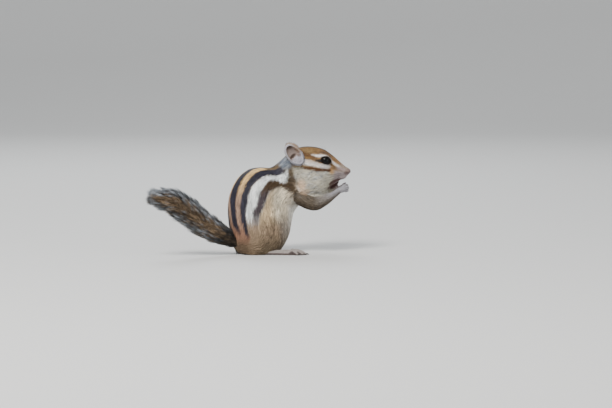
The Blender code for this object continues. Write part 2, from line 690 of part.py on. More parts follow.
def tail_lock(line, place, angle, length, chance, group):
    """One flat tapered lock that leaves the bone, bends over and lies back along the tail."""
    tip_place = min(place + length * TAIL_LOCK_LEAN, line.length + TAIL_TIP_HAIR)
    reach = brush_radius(line, tip_place, angle) * chance.uniform(0.93, 1.02)
    rings = []
    for share, width in TAIL_LOCK_SHAPE:
        here = place + (tip_place - place) * share
        out = reach * (1 - (1 - share) ** TAIL_LOCK_RISE)
        middle, along, up, side = line.frame(here)
        radial = up * math.cos(angle) + side * math.sin(angle)
        around = side * math.cos(angle) - up * math.sin(angle)
        middle = middle + radial * out
        slope = (along + radial * 0.45 * (1 - share)).normalized()
        outward = (radial - slope * radial.dot(slope)).normalized()
        half_width = TAIL_LOCK_HALF_WIDTH * width
        half_thick = TAIL_LOCK_HALF_THICKNESS * min(1.0, 1.25 * math.sqrt(width))
        rings.append([middle + around * half_width, middle + outward * half_thick,
                      middle - around * half_width, middle - outward * half_thick])
    return loft("lock", rings, group)


def tail(group):
    """The tail's core with its rows of overlapping locks, joined to one closed body."""
    line = TailLine()
    chance = random.Random(TAIL_SEED)
    pieces = [limb("core", TAIL_PATH, TAIL_CORE_RADII, group, around=12, steps=16, flat=TAIL_BRUSH_FLATNESS,
                   flat_axis=TAIL_ACROSS)]
    for row in range(TAIL_LOCK_ROWS):
        share = row / (TAIL_LOCK_ROWS - 1)
        place = TAIL_FIRST_LOCKS + (line.length - 2.0 - TAIL_FIRST_LOCKS) * share
        for number in range(TAIL_LOCKS_AROUND):
            angle = (number + 0.5 * (row % 2)) / TAIL_LOCKS_AROUND * math.tau + chance.uniform(-0.12, 0.12)
            length = TAIL_LOCK_LENGTH * (0.72 + 0.28 * min(1.0, share * 3)) * chance.uniform(0.88, 1.08)
            pieces.append(tail_lock(line, place + chance.uniform(-0.8, 0.8), angle, length, chance, group))
    end = [line.frame(line.length + past)[0] for past in (-3.0, 2.0, 6.0, TAIL_TIP_HAIR)]
    pieces.append(limb("tip_lock", end, [1.0, 1.2, 0.9, 0.25], group, around=6, steps=6, dome=1))
    return fused("tail", pieces, group)


def material(name, colour, roughness):
    """A plain finish for one node."""
    made = bpy.data.materials.new(name)
    made.use_nodes = True
    shader = made.node_tree.nodes["Principled BSDF"]
    shader.inputs["Base Color"].default_value = (*colour, 1.0)
    shader.inputs["Roughness"].default_value = roughness
    shader.inputs["Metallic"].default_value = 0.0
    return made


def above_floor(obj, group):
    """obj cut off flat at the floor."""
    room = prism("room", ((-200, 0), (200, 0), (200, 200), (-200, 200)), group)
    kept = carve(obj, room, "INTERSECT", group)
    bpy.data.objects.remove(room)
    return kept


def part_of(body, name, outline, group):
    """The part of the body inside an outline in X and Z, half a gap clear of its sides."""
    region = prism("region", inset(outline, GAP / 2), group)
    whole = copied(body, name, group)
    kept = carve(whole, region, "INTERSECT", group)
    bpy.data.objects.remove(region)
    return kept


def cut_body(fine, coarse, group):
    """Parts the blended body into head, neck, torso and haunches, with thin gaps between them."""
    nodes = {
        "head": part_of(fine, "head", (THROAT, CHIN_CORNER, (FRONT, CHIN_CORNER[1]), (FRONT, FRONT), NAPE_TOP), group),
        "neck": part_of(coarse, "neck", (NECK_FOOT, THROAT, NAPE_TOP, BACK_TOP), group),
    }
    torso = part_of(coarse, "torso", ((REAR, -GAP), (FRONT, -GAP), (FRONT, CHIN_CORNER[1]), CHIN_CORNER, THROAT,
                                      NECK_FOOT, BACK_TOP, (REAR, BACK_TOP[1])), group)
    for sign in (-1, 1):
        name = f"hind_leg_{SIDE_NAMES[sign]}"
        region = haunch(sign, HAUNCH_CUT_SCALE, group, segments=20)
        nodes[name] = carve(copied(coarse, name, group), region, "INTERSECT", group)
        torso = clear_of(torso, [region], group)
        bpy.data.objects.remove(region)
    nodes["torso"] = torso
    return nodes


def face_of(head, group):
    """Adds the lids to the head and cuts the sockets, mouth and nostrils into it."""
    for sign in (-1, 1):
        lids = lid_ridge(sign, group)
        head = carve(head, lids, "UNION", group)
        bpy.data.objects.remove(lids)
    cutters = [mouth_cutter(group)]
    for sign in (-1, 1):
        cutters += [eye(sign, EYE_RADIUS + GAP, 18, group), eye_opening(sign, group), nostril(sign, group)]
    for cutter in cutters:
        head = carve(head, cutter, "DIFFERENCE", group)
        bpy.data.objects.remove(cutter)
    return head


def clear_of(obj, others, group, gap=GAP, solver="EXACT"):
    """obj with whatever lies inside the others, or within the gap of them, taken off."""
    for other in others:
        wider = grown(other, "wider", gap, group)
        obj = carve(obj, wider, "DIFFERENCE", group, solver)
        bpy.data.objects.remove(wider)
    return obj


def on_its_base(nodes):
    """Moves every node so that the origin is the middle of the whole model's underside."""
    corners = np.array([v.co for obj in nodes for v in obj.data.vertices])
    middle = (corners.min(axis=0) + corners.max(axis=0)) / 2
    shift = Matrix.Translation((-middle[0], -middle[1], 0))
    for obj in nodes:
        obj.data.transform(shift)


def main():
    """Builds every node of the chipmunk."""
    clear_scene()
    group = collection_of("chipmunk")
    body = above_floor(blended("body", body_pieces(group), VOXEL, 7, group), group)
    fine = thinned(copied(body, "fine", group), "fine", HEAD_FINENESS, group)
    coarse = thinned(body, "coarse", BODY_FINENESS, group)
    nodes = cut_body(fine, coarse, group)
    nodes["head"] = face_of(nodes["head"], group)
    nodes["tail"] = clear_of(tail(group), [coarse], group, solver="MANIFOLD")
    for sign in (-1, 1):
        side = SIDE_NAMES[sign]
        nodes[f"eye_{side}"] = eye(sign, EYE_RADIUS, 16, group)
        nodes[f"ear_{side}"] = clear_of(ear(sign, group), [coarse], group, HEAD_GAP)
        arm = clear_of(foreleg(sign, group), [coarse], group, HEAD_GAP)
        nodes[f"forepaw_{side}"] = clear_of(forepaw(sign, group), [arm, coarse], group, HEAD_GAP)
        nodes[f"foreleg_{side}"] = arm
        nodes[f"hind_foot_{side}"] = above_floor(clear_of(hind_foot(sign, group), [coarse], group), group)
    bpy.data.objects.remove(fine)
    bpy.data.objects.remove(coarse)
    for name, obj in nodes.items():
        largest_shell(obj)
        obj.name = name
        obj.data.shade_smooth()
        obj.data.set_sharp_from_angle(angle=SHARP_ANGLE)
        kind = name.removesuffix("_right").removesuffix("_left")
        obj.data.materials.clear()
        obj.data.materials.append(material(name, *FINISHES[kind]))
    on_its_base(list(nodes.values()))
    for name, obj in sorted(nodes.items()):
        print(f"{name:18s} {len(obj.data.polygons)}")
    print("triangles", sum(len(obj.data.polygons) for obj in nodes.values()))


main()
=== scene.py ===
"""Looks of a life-size chipmunk: skin, coat, tail, ears, eyes, nose, mouth, whiskers, hands and feet.

Places are in millimetres in the animal's own frame: +X is the way the head faces, +Y is its left, +Z is up
and the floor is at Z = 0. They become metres in the model's frame where a mesh is made.
"""

import logging
import math
from dataclasses import dataclass, fields
from enum import Enum

import bmesh
import bpy
import numpy as np
from mathutils import Matrix, Vector
from mathutils.bvhtree import BVHTree


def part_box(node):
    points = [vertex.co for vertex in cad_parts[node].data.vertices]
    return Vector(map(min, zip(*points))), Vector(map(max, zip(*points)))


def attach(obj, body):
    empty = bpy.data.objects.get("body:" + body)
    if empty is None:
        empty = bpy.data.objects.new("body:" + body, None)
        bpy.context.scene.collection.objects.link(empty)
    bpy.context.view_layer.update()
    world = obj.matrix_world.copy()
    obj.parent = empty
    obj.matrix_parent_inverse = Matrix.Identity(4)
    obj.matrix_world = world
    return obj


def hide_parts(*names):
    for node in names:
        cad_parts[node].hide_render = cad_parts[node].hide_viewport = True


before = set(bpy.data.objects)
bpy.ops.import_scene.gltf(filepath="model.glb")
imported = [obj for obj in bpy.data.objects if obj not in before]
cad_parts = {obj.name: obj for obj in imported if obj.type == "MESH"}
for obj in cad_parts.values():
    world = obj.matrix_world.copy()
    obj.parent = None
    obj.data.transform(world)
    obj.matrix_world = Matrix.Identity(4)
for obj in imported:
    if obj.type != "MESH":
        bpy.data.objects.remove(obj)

LOG = logging.getLogger("chipmunk")
MM = 0.001
SIDES = {"right": -1, "left": 1}
HEAD_Y = 8.0  # the head's middle plane
EYE_PLACE = (43.4, 7.3, 66.5)  # X, distance from the head's middle plane, Z
COAT_UV = "OFBake"
TINT_LAYER = "Tint"
UV_PATCH = 0.003  # size of one tuft on the unwrap
TUFTS_IN_A_PIECE = 19500
DARKEST = 0.003  # the least that a colour of hair may be

Array = np.ndarray
Shape = bmesh.types.BMesh
Piece = bpy.types.Object


def model_origin() -> Vector:
    """Where the animal's own origin lies in the model's frame, in metres."""
    low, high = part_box("eye_right")
    return (low + high) / 2 - Vector((EYE_PLACE[0], HEAD_Y - EYE_PLACE[1], EYE_PLACE[2])) * MM


ORIGIN = model_origin()


class Hue(Enum):
    """Linear colours of hair and bare skin, some with painted shade laid in."""

    DARK_STRIPE = (0.024, 0.022, 0.034)
    SIDE_STRIPE = (0.050, 0.038, 0.042)
    SIDE_STRIPE_TOP = (0.055, 0.032, 0.014)
    TAN_TOP = (0.66, 0.43, 0.18)
    TAN = (0.33, 0.215, 0.15)
    RUFOUS = (0.24, 0.125, 0.078)
    CREAM = (0.74, 0.765, 0.745)
    FLANK = (0.47, 0.35, 0.205)
    BELLY = (0.68, 0.65, 0.59)
    THIGH = (0.24, 0.17, 0.108)
    THIGH_LOW = (0.14, 0.105, 0.064)
    THIGH_FRONT = (0.33, 0.295, 0.25)
    FLANK_PALE = (0.70, 0.63, 0.49)
    SLATE = (0.12, 0.155, 0.21)
    NECK_BROWN = (0.085, 0.055, 0.028)
    CROWN = (0.20, 0.115, 0.040)
    CROWN_FRONT = (0.25, 0.14, 0.06)
    CROWN_PALE = (0.27, 0.185, 0.09)
    CROWN_LINE = (0.045, 0.028, 0.022)
    BROW_WHITE = (0.68, 0.64, 0.60)
    BRIDGE = (0.30, 0.245, 0.19)
    EAR_STRIPE = (0.125, 0.062, 0.022)
    FACE_LINE = (0.07, 0.028, 0.008)
    FACE_OCHRE = (0.48, 0.27, 0.10)
    FACE_BROWN = (0.14, 0.085, 0.042)
    CHEEK = (0.46, 0.425, 0.335)
    CHEEK_GREY = (0.19, 0.20, 0.225)
    CHEEK_PEACH = (0.58, 0.40, 0.26)
    MUZZLE = (0.31, 0.25, 0.25)
    # Dark lip skin, also used for painted shadow round the nostrils and behind the mouth's corner.
    LIP_SKIN_AND_SHADOW = (0.055, 0.018, 0.016)
    # Upper arm: its own dark brown, darkened further as painted shade under the cheek.
    UPPER_ARM_AND_SHADE = (0.095, 0.073, 0.05)
    FOREARM = (0.17, 0.15, 0.13)
    # Underside of the forelegs: its own brown, darkened as painted shade.
    ARM_UNDERSIDE_AND_SHADE = (0.07, 0.05, 0.032)
    WRIST = (0.28, 0.27, 0.285)
    TAIL_OCHRE = (0.25, 0.17, 0.10)
    TAIL_DARK = (0.016, 0.013, 0.011)
    TAIL_FROST = (0.54, 0.59, 0.65)
    EAR_RIM = (0.44, 0.43, 0.48)
    EAR_BACK = (0.30, 0.24, 0.18)
    EAR_INSIDE = (0.36, 0.28, 0.245)
    # Dark brown inside the ear, also used for painted shade in the crease above the fold.
    EAR_DEEP = (0.05, 0.028, 0.018)
    NOSE_SKIN = (0.11, 0.058, 0.058)
    # Near black: painted shadow inside the mouth and behind its corner.
    MOUTH_SKIN = (0.030, 0.008, 0.006)
    LID_SKIN = (0.008, 0.006, 0.006)
    HAND_SKIN = (0.34, 0.26, 0.25)
    # Bare foot skin, darkened further as painted shade.
    FOOT_SKIN = (0.10, 0.075, 0.07)
    FOOT_HAIR = (0.40, 0.355, 0.325)
    CLAW = (0.035, 0.026, 0.022)


def ramp(values: Array, low: float, high: float) -> Array:
    """A smooth step from 0 at low to 1 at high."""
    t = np.clip((values - low) / (high - low), 0.0, 1.0)
    return t * t * (3 - 2 * t)


def painted(base: Array, hue: Hue, weight: Array) -> Array:
    """base with the hue laid over it by weight."""
    return base + (np.array(hue.value) - base) * weight[:, None]


def unit(vectors: Array) -> Array:
    """The vectors with a length of 1."""
    return vectors / np.maximum(np.linalg.norm(vectors, axis=-1, keepdims=True), 1e-9)


def flattened(vectors: Array, normals: Array) -> Array:
    """Unit vectors laid along the surface that has those normals."""
    return unit(vectors - normals * (vectors * normals).sum(axis=1, keepdims=True))


def layered(first: Hue, points: Array, *layers: tuple[Hue, Array]) -> Array:
    """Colours of points: the first hue, then each layer's hue laid over it by its weight.

    Args:
        first: The hue below the others.
        points: The coloured points.
        layers: Pairs of a hue and its weight at each point.

    Returns:
        One colour per point.
    """
    colours = np.tile(first.value, (len(points), 1))
    for hue, weight in layers:
        colours = painted(colours, hue, weight)
    return colours


def smooth_rows(rows: tuple, count: int) -> Array:
    """Rows along the Catmull-Rom curve through the given ones.

    Args:
        rows: The given rows.
        count: How many to make.

    Returns:
        The new rows.
    """
    points = np.array(rows, float)
    padded = np.vstack((2 * points[0] - points[1], points, 2 * points[-1] - points[-2]))
    place = np.linspace(0, len(points) - 1, count)
    i = np.minimum(place.astype(int), len(points) - 2)
    t = (place - i)[:, None]
    a, b, c, d = (padded[i + k] for k in range(4))
    return 0.5 * (2 * b + (c - a) * t + (2 * a - 5 * b + 4 * c - d) * t**2 + (3 * b - a - 3 * c + d) * t**3)


def noise(points: Array, size: float | tuple, seed: int) -> Array:
    """Smooth random values from -1 to 1 whose lumps have about that size.

    Args:
        points: In millimetres.
        size: Size of the lumps, one or one for each axis.
        seed: Picks the pattern.

    Returns:
        One number per point.
    """
    cell = points / np.array(size)
    low = np.floor(cell).astype(np.int64)
    f = cell - low
    f = f * f * (3 - 2 * f)
    total = np.zeros(len(points))
    for corner in range(8):
        step = np.array([(corner >> k) & 1 for k in range(3)])
        x, y, z = (low + step).T
        mixed = (x * 73856093) ^ (y * 19349663) ^ (z * 83492791) ^ (seed * 2654435761)
        mixed = (mixed ^ (mixed >> 13)) * 1274126177
        value = ((mixed ^ (mixed >> 16)) & 0xFFFF) / 32767.5 - 1.0
        total += value * np.prod(np.where(step == 1, f, 1 - f), axis=1)
    return total


def nearest_rows(points: Array, line: Array, chunk: int = 20000) -> tuple[Array, Array]:
    """For each point the nearest row of line, and its distance.

    Args:
        points: The points.
        line: The rows to choose from.
        chunk: Points looked at together.

    Returns:
        Each nearest row's number and its distance.
    """
    index = np.empty(len(points), int)
    distance = np.empty(len(points))
    for start in range(0, len(points), chunk):
        part = points[start : start + chunk]
        squared = ((part[:, None, :] - line[None, :, :]) ** 2).sum(axis=2)
        found = squared.argmin(axis=1)
        index[start : start + chunk] = found
        distance[start : start + chunk] = np.sqrt(squared[np.arange(len(part)), found])
    return index, distance


TRUNK_YAW = math.radians(33)


def on_trunk(forward: float, left: float, up: float) -> tuple[float, float, float]:
    """A point given along the turned trunk, across it and up."""
    c, s = math.cos(TRUNK_YAW), math.sin(TRUNK_YAW)
    return (forward * c - left * s, forward * s + left * c, up)


@dataclass
class Spine:
    """The line through the middle of trunk, neck and head, with a frame at each step of it."""

    path: tuple = (
        on_trunk(-5.8, 0, 0), on_trunk(-4.2, 0, 15), on_trunk(-3.4, 0, 31), on_trunk(-1.5, 0, 43),
        (5, 3.2, 50), (13, 6.2, 56), (22, 8, 60.5), (33, 8, 61.5), (44, 8, 60.5), (54, 8, 59),
        (62, 8, 58.5),
    )
    steps: int = 241
    # How far the dark line of the back lies to the right of the frame's own back, in degrees.
    drift_places: tuple = (10, 14, 21, 28, 34, 40, 44, 46, 50)
    drift: tuple = (19, 16.5, 10.2, 7.2, 5.2, 1.8, -1, -1.8, -1.5)
    left_spread: float = 0.2  # how much wider the stripes lie on the left

    def __post_init__(self) -> None:
        """Walks the line and sets up its frames."""
        self.points = smooth_rows(self.path, self.steps)
        self.along = unit(np.gradient(self.points, axis=0))
        steps = np.linalg.norm(np.diff(self.points, axis=0), axis=1)
        self.places = np.concatenate(([0.0], np.cumsum(steps)))
        self.step = float(steps.mean())
        past_trunk = np.where(self.points[:, 0] > 20, 1.0, 0.0)
        turned = np.maximum(ramp(self.points[:, 2], 44, 60), past_trunk)[:, None]
        left = np.array(on_trunk(0, 1, 0)) * (1 - turned) + np.array((0, 1, 0)) * turned
        self.left = flattened(left, self.along)
        self.up = np.cross(self.along, self.left)

    def locate(self, points: Array) -> tuple[Array, Array, Array, Array]:
        """Where points lie as seen from the line.

        Args:
            points: In millimetres.

        Returns:
            Place along the line, angle from the back's dark line in degrees, radius and the line's direction.
        """
        i, _ = nearest_rows(points, self.points)
        off = points - self.points[i]
        forward = np.clip((off * self.along[i]).sum(axis=1), -self.step, self.step)
        place = self.places[i] + forward
        sideways = (off * self.left[i]).sum(axis=1)
        upwards = (off * self.up[i]).sum(axis=1)
        drift = np.interp(place, self.drift_places, self.drift)
        angle = (np.degrees(np.arctan2(-sideways, upwards)) - drift + 180) % 360 - 180
        narrow = 1 / (1 + self.left_spread)
        left = -angle * (narrow - (1 - narrow) * angle / 180)
        return place, np.where(angle < 0, left, angle), np.hypot(sideways, upwards), self.along[i]


@dataclass(frozen=True)
class Foreleg:
    """The middle line of one foreleg, from the shoulder to the wrist."""

    path: tuple

    def rows(self, count: int = 40) -> tuple[Array, Array]:
        """Points along it and the direction at each."""
        points = smooth_rows(self.path, count)
        return points, unit(np.gradient(points, axis=0))


FORELEGS = {
    "right": Foreleg(
        (
            (17, -3.4, 43.5), (24, -5.8, 40.4), (30.5, -7.2, 37), (36.5, -7, 35.4), (43.6, -4, 38.4),
            (49.8, -0.2, 42.2), (54, 2, 45),
        ),
    ),
    "left": Foreleg(
        (
            (14, 17, 43.5), (20, 19.5, 40.6), (27.5, 21.6, 37), (34, 21.2, 35.6), (41.5, 18.6, 38.2),
            (48.6, 15.6, 42.2), (53.8, 14, 45),
        ),
    ),
}


@dataclass(frozen=True)
class Streak:
    """A streak of the face, the same on both sides: its line and half widths seen from the side."""

    hue: Hue
    line: tuple
    half_widths: tuple
    soft: float = 0.5
    strength: float = 1.0
    fade_in: float = 0.12
    fade_out: float = 0.12

    def weight(self, points: Array) -> Array:
        """How much of the streak's colour each point takes.

        Args:
            points: In millimetres.

        Returns:
            One number per point.
        """
        rows = smooth_rows([(*place, width) for place, width in zip(self.line, self.half_widths)], 40)
        flat = points[:, (0, 2)]
        i, distance = nearest_rows(flat, rows[:, :2])
        share = i / (len(rows) - 1)
        ends = ramp(share, -0.001, self.fade_in) * (1 - ramp(share, 1 - self.fade_out, 1.001))
        half = rows[i, 2]
        return self.strength * ends * (1 - ramp(distance - half, -self.soft, self.soft))


@dataclass(frozen=True)
class Patch:
    """A round soft patch, the same on both sides, seen from the side."""

    hue: Hue
    centre: tuple[float, float]
    radii: tuple[float, float]
    strength: float = 1.0
    soft: float = 0.35

    def weight(self, points: Array) -> Array:
        """How much of the patch's colour each point takes.

        Args:
            points: In millimetres.

        Returns:
            One number per point.
        """
        x = (points[:, 0] - self.centre[0]) / self.radii[0]
        z = (points[:, 2] - self.centre[1]) / self.radii[1]
        return self.strength * (1 - ramp(np.hypot(x, z), 1 - self.soft, 1 + self.soft))


@dataclass(frozen=True)
class Stripe:
    """A long dark stripe: its two edges as pairs of place along the spine and angle from the middle line."""

    hue: Hue
    inner: tuple
    outer: tuple
    fade_places: tuple  # where it starts, is whole, is whole for the last time and ends
    soft: float = 0.5

    def past(self, edge: tuple, at: "Survey") -> Array:
        """How far, in millimetres, points lie outwards of an edge."""
        places, angles = zip(*edge)
        return np.radians(at.angle - np.interp(at.place, places, angles)) * at.radius

    def weight(self, at: "Survey", wobble: Array) -> Array:
        """How much of the stripe's colour each point takes.

        Args:
            at: Where the points lie.
            wobble: Small shifts that make the edges uneven.

        Returns:
            One number per point.
        """
        start, whole, last, end = self.fade_places
        ends = ramp(at.place, start, whole) * (1 - ramp(at.place, last, end))
        inside, beyond = (ramp(self.past(edge, at) + wobble, -self.soft, self.soft)
                          for edge in (self.inner, self.outer))
        return ends * inside * (1 - beyond)


MID_STRIPE = Stripe(
    Hue.DARK_STRIPE, ((0, -90), (100, -90)),
    (
        (14, 4.2), (17, 5), (21, 5.4), (34.5, 6.3), (39, 8.2), (44, 8.6), (46, 9), (49, 10), (56, 12),
        (64, 12),
    ),
    (12, 18, 70, 80),
)
UPPER_STRIPE = Stripe(
    Hue.DARK_STRIPE,
    (
        (15, 12.5), (22, 13.4), (29, 13.5), (34, 14.3), (37.2, 16.8), (42, 19.1), (43.7, 20.6),
        (46.3, 23.2), (48.1, 24.3), (50, 26.7), (53.6, 35.2), (57, 41), (63, 45),
    ),
    (
        (14, 20), (22, 22.6), (29, 23.3), (33.3, 25.2), (36.6, 27.6), (41.2, 31), (43.1, 33.5),
        (45, 38.5), (48.1, 44.3), (50.6, 51.1), (55.4, 64.7), (58, 73), (63, 79),
    ),
    (9, 16, 62, 67),
)
LOWER_STRIPE = Stripe(
    Hue.SIDE_STRIPE,
    (
        (20, 32), (24, 33), (30.9, 36.4), (33.7, 40), (37.9, 46.5), (42.2, 51.5), (44.2, 56.5),
        (46.9, 59), (50.2, 65.5), (55.1, 82), (58.7, 108.5),
    ),
    (
        (20, 42), (24, 45), (29.6, 52), (33.9, 57.3), (38.3, 64.8), (43.1, 72.7), (45.9, 81.1),
        (51.4, 95.5), (54.2, 114.7), (57, 128.7),
    ),
    (15, 31, 62, 68), 0.9,
)


@dataclass(frozen=True)
class Survey:
    """Where points of the body's surface lie on the animal."""

    points: Array
    place: Array  # along the spine
    angle: Array  # from the middle of the back, in degrees
    radius: Array
    along: Array  # the spine's direction
    arm: Array  # 0 on the body, 1 on a foreleg
    arm_share: Array  # 0 at the shoulder, 1 at the wrist
    arm_way: Array
    arm_rise: Array  # height over the foreleg's own line

    @property
    def head(self) -> Array:
        """0 on the body, 1 on the head."""
        return ramp(self.place, 62, 73) * (1 - self.arm)

    @property
    def muzzle(self) -> Array:
        """0 behind the eyes, 1 at the nose."""
        return ramp(self.points[:, 0], 44, 57) * (1 - self.arm)


@dataclass(frozen=True)
class Markings:
    """The coat's colours at the points of a surface."""

    at: Survey

    FACE = (
        Patch(Hue.CHEEK_PEACH, (25.8, 49.4), (3.4, 4.2), 0.8, 0.5),
        Patch(Hue.CROWN_PALE, (30.4, 73.8), (5, 1.5), 0.45, 0.5),
        Patch(Hue.FACE_BROWN, (50.4, 61.4), (1.9, 1.2), 0.85, 0.5),
        Patch(Hue.FACE_OCHRE, (48.4, 58.2), (1.6, 1.6), 0.85, 0.5),
        Streak(Hue.BROW_WHITE, ((23, 66.2), (28, 66), (31.7, 65.4), (37, 64), (40.5, 62.9), (43.9, 62.1),
            (47.2, 61.3)), (1.7, 2, 2.1, 1.65, 1.35, 1.1, 0.6), 0.45, 0.92, 0.05, 0.1),
        Streak(Hue.FACE_LINE, ((25, 61.4), (28.5, 61.5), (31.7, 61.3), (37, 60.6), (42.2, 60.1), (46.4,
            59.6), (48.4, 59.4)), (0.5, 0.95, 1.1, 1.2, 1.2, 1, 0.6), 0.4, 1, 0.2, 0.1),
        Streak(Hue.EAR_STRIPE, ((24.6, 74.4), (28.4, 71.8), (32.3, 70.3), (36, 68.7), (38.5, 67.6)), (1.4,
            1.5, 1.25, 0.9, 0.6), 0.5, 0.95, 0.05, 0.1),
        Streak(Hue.LID_SKIN, ((35.2, 66.9), (37.8, 66.8), (40.6, 66.9)), (0.5, 0.9, 1.3), 0.4, 0.95, 0.25,
            0.01),
        Streak(Hue.LID_SKIN, ((46.4, 66.2), (47.4, 65), (48.4, 63.2)), (0.8, 0.7, 0.4), 0.4, 0.85, 0.01,
            0.3),
        Streak(Hue.CROWN_LINE, ((37, 73), (41.8, 72.8), (45.4, 71.6), (48.9, 69), (52.4, 66.1), (56.2, 64)),
            (0.4, 0.6, 0.7, 0.7, 0.6, 0.4), 0.5, 0.75, 0.2, 0.3),
        Streak(Hue.BROW_WHITE, ((32.6, 71.6), (35.4, 70.9), (38.4, 70.3), (41.2, 70.5), (43.8, 70.3), (46.2,
            68.9), (48.1, 66.5), (50.2, 64.5), (52.7, 62.8), (56, 61.2)), (0.35, 0.5, 0.8, 0.85, 0.7, 0.65,
            0.7, 0.8, 0.8, 0.5), 0.4, 1, 0.1, 0.12),
        Streak(Hue.BROW_WHITE, ((38.8, 64.4), (42.2, 63.4), (45.4, 62.9), (47.6, 62.2)), (0.7, 0.9, 0.9,
            0.4), 0.4, 0.9, 0.2, 0.1),
        Streak(Hue.MUZZLE, ((51.2, 61), (54.4, 60.7), (58, 59.6)), (0.8, 1, 0.7), 0.6, 0.8, 0.2, 0.1),
        Patch(Hue.CHEEK_PEACH, (32.6, 66.5), (3.2, 0.9), 0.45, 0.6),
        Streak(Hue.BRIDGE, ((51.6, 64.4), (54, 63.1), (57, 61.7), (59.6, 60.4)), (0.5, 0.8, 0.9, 0.6), 0.5,
            0.75, 0.3, 0.1),
        # Painted shade round the nostrils.
        Patch(Hue.LIP_SKIN_AND_SHADOW, (58.8, 57.3), (2, 1.5), 0.75, 0.5),
        # These two streaks: dark lip skin along the mouth, widened and reaching back as painted shadow
        # between the cheek and the forearm.
        Streak(Hue.LIP_SKIN_AND_SHADOW, ((46.2, 48.6), (48.6, 50.4), (51.8, 52), (55.4, 52.6)), (0.7, 1.3, 1.1, 0.6),
            0.5, 0.92),
        Streak(Hue.LIP_SKIN_AND_SHADOW, ((45, 45.6), (47.6, 46.8), (50.2, 48.2), (52.4, 49.4)), (1, 1.5, 1.3, 0.9),
            0.5, 0.92),
    )
    NAPE_BAND = Streak(
        Hue.NECK_BROWN, ((18, 65), (18.4, 60), (19, 53.5), (21.2, 46.5), (25.5, 41.5)),
        (1.2, 2.1, 2.6, 3.1, 3.2), 0.9, 0.95,
    )
    NAPE = Patch(Hue.SLATE, (14.6, 65.6), (5.4, 4.6), 0.9, 0.4)
    THROAT = Patch(Hue.CHEEK_PEACH, (28.8, 44.8), (3.4, 1.9), 0.5, 0.6)
    # Painted shade in the hollow behind each foreleg.
    BEHIND_ARM_SHADE = Patch(Hue.THIGH, (18.2, 39.8), (2.4, 4.0), 0.6, 0.8)

    def body(self) -> Array:
        """Colours of trunk, haunches and neck.

        Returns:
            One colour per point.
        """
        at = self.at
        z = at.points[:, 2]
        wobble = 0.35 * noise(at.points, 2.2, 3)
        pale = ramp(UPPER_STRIPE.past(UPPER_STRIPE.outer, at) + wobble, -0.5, 0.5)
        flank = ramp(LOWER_STRIPE.past(LOWER_STRIPE.outer, at) + wobble, -0.8, 0.8)
        thigh = flank * (1 - ramp(z + 2 * wobble, 20, 31))
        return layered(
            Hue.TAN, z,
            (Hue.TAN_TOP, ramp(z, 38, 55)),
            (Hue.NECK_BROWN, ramp(at.place, 52, 57) * 0.95),
            (Hue.RUFOUS, 1 - ramp(z, 15, 30)),
            (Hue.THIGH_LOW, (1 - ramp(z, 5, 15)) * 0.8),
            (Hue.CREAM, pale * ramp(z, 17, 30)),
            (Hue.THIGH, pale * (1 - ramp(z, 17, 30))),
            (Hue.FLANK, flank),
            (Hue.FLANK_PALE, flank * ramp(at.angle, 70, 95) * 0.7),
            (Hue.THIGH, thigh),
            (Hue.THIGH_FRONT, thigh * ramp(at.angle, 78, 112) * 0.8),
            (Hue.THIGH_LOW, thigh * (1 - ramp(z, 4, 17)) * 0.8),
            (Hue.BELLY, self.belly()),
            *((stripe.hue, stripe.weight(at, wobble)) for stripe in (MID_STRIPE, UPPER_STRIPE, LOWER_STRIPE)),
            (Hue.SIDE_STRIPE_TOP, LOWER_STRIPE.weight(at, wobble) * ramp(z, 42, 50)),
        )

    def belly(self) -> Array:
        """1 on the white belly.

        Returns:
            One number per point.
        """
        at = self.at
        z = at.points[:, 2]
        off = np.abs((at.angle + 2.5) % 360 - 180)
        high = ramp(z, 14, 30)
        low = (1 - ramp(off, 26, 42)) * (1 - high) * ramp(z, 1, 6) * ramp(at.points[:, 0], 0, 6)
        return (1 - ramp(off, 38, 60)) * high + low

    def face(self) -> Array:
        """Colours of the head.

        Returns:
            One colour per point.
        """
        at = self.at
        x, y, z = at.points.T
        middle = np.abs(y - HEAD_Y)
        dusky = ramp(noise(at.points, (2.6, 1.0, 0.7), 19), 0.15, 0.6) * (1 - ramp(x, 46, 52))
        line = (1 - ramp(middle, 2.0, 3.8)) * ramp(z, 66, 70) * (1 - ramp(x, 48, 54))
        cheek = 1 - ramp(z + 0.12 * (x - 34), 60.0, 62.2)
        grey = ramp(noise(at.points, (2.4, 2.4, 0.75), 11), 0.1, 0.6) * (1 - ramp(x, 40, 48))
        white = ramp(noise(at.points, (2.0, 2.0, 0.6), 12), 0.2, 0.6) * (1 - ramp(x, 44, 50))
        # The crown's two side lines stop short of the head's middle.
        aside = {Hue.CROWN_LINE: ramp(middle, 3.4, 4.6)}
        return layered(
            Hue.CROWN, x,
            (Hue.CROWN_FRONT, ramp(x, 33, 43)),
            (Hue.MUZZLE, ramp(x, 52, 58) * 0.6),
            (Hue.CROWN_LINE, dusky * 0.32),
            (Hue.CROWN_LINE, line * 0.85),
            (Hue.CHEEK, cheek),
            (Hue.CHEEK_GREY, cheek * grey * 0.7),
            (Hue.CREAM, cheek * white * 0.4),
            (Hue.MUZZLE, cheek * ramp(x, 47.5, 51.5) * 0.9),
            *((mark.hue, mark.weight(at.points) * aside.get(mark.hue, 1.0)) for mark in self.FACE),
        )

    def foreleg(self) -> Array:
        """Colours of the forelegs, with painted shade laid over their own brown: on the upper arm under the
        cheek and along each leg's underside.

        Returns:
            One colour per point.
        """
        at = self.at
        streaks = ramp(noise(at.points, (0.7, 0.7, 3.0), 14), 0.1, 0.6)
        rise = at.arm_rise - 0.9 * ramp(at.arm_share, 0.4, 0.7)
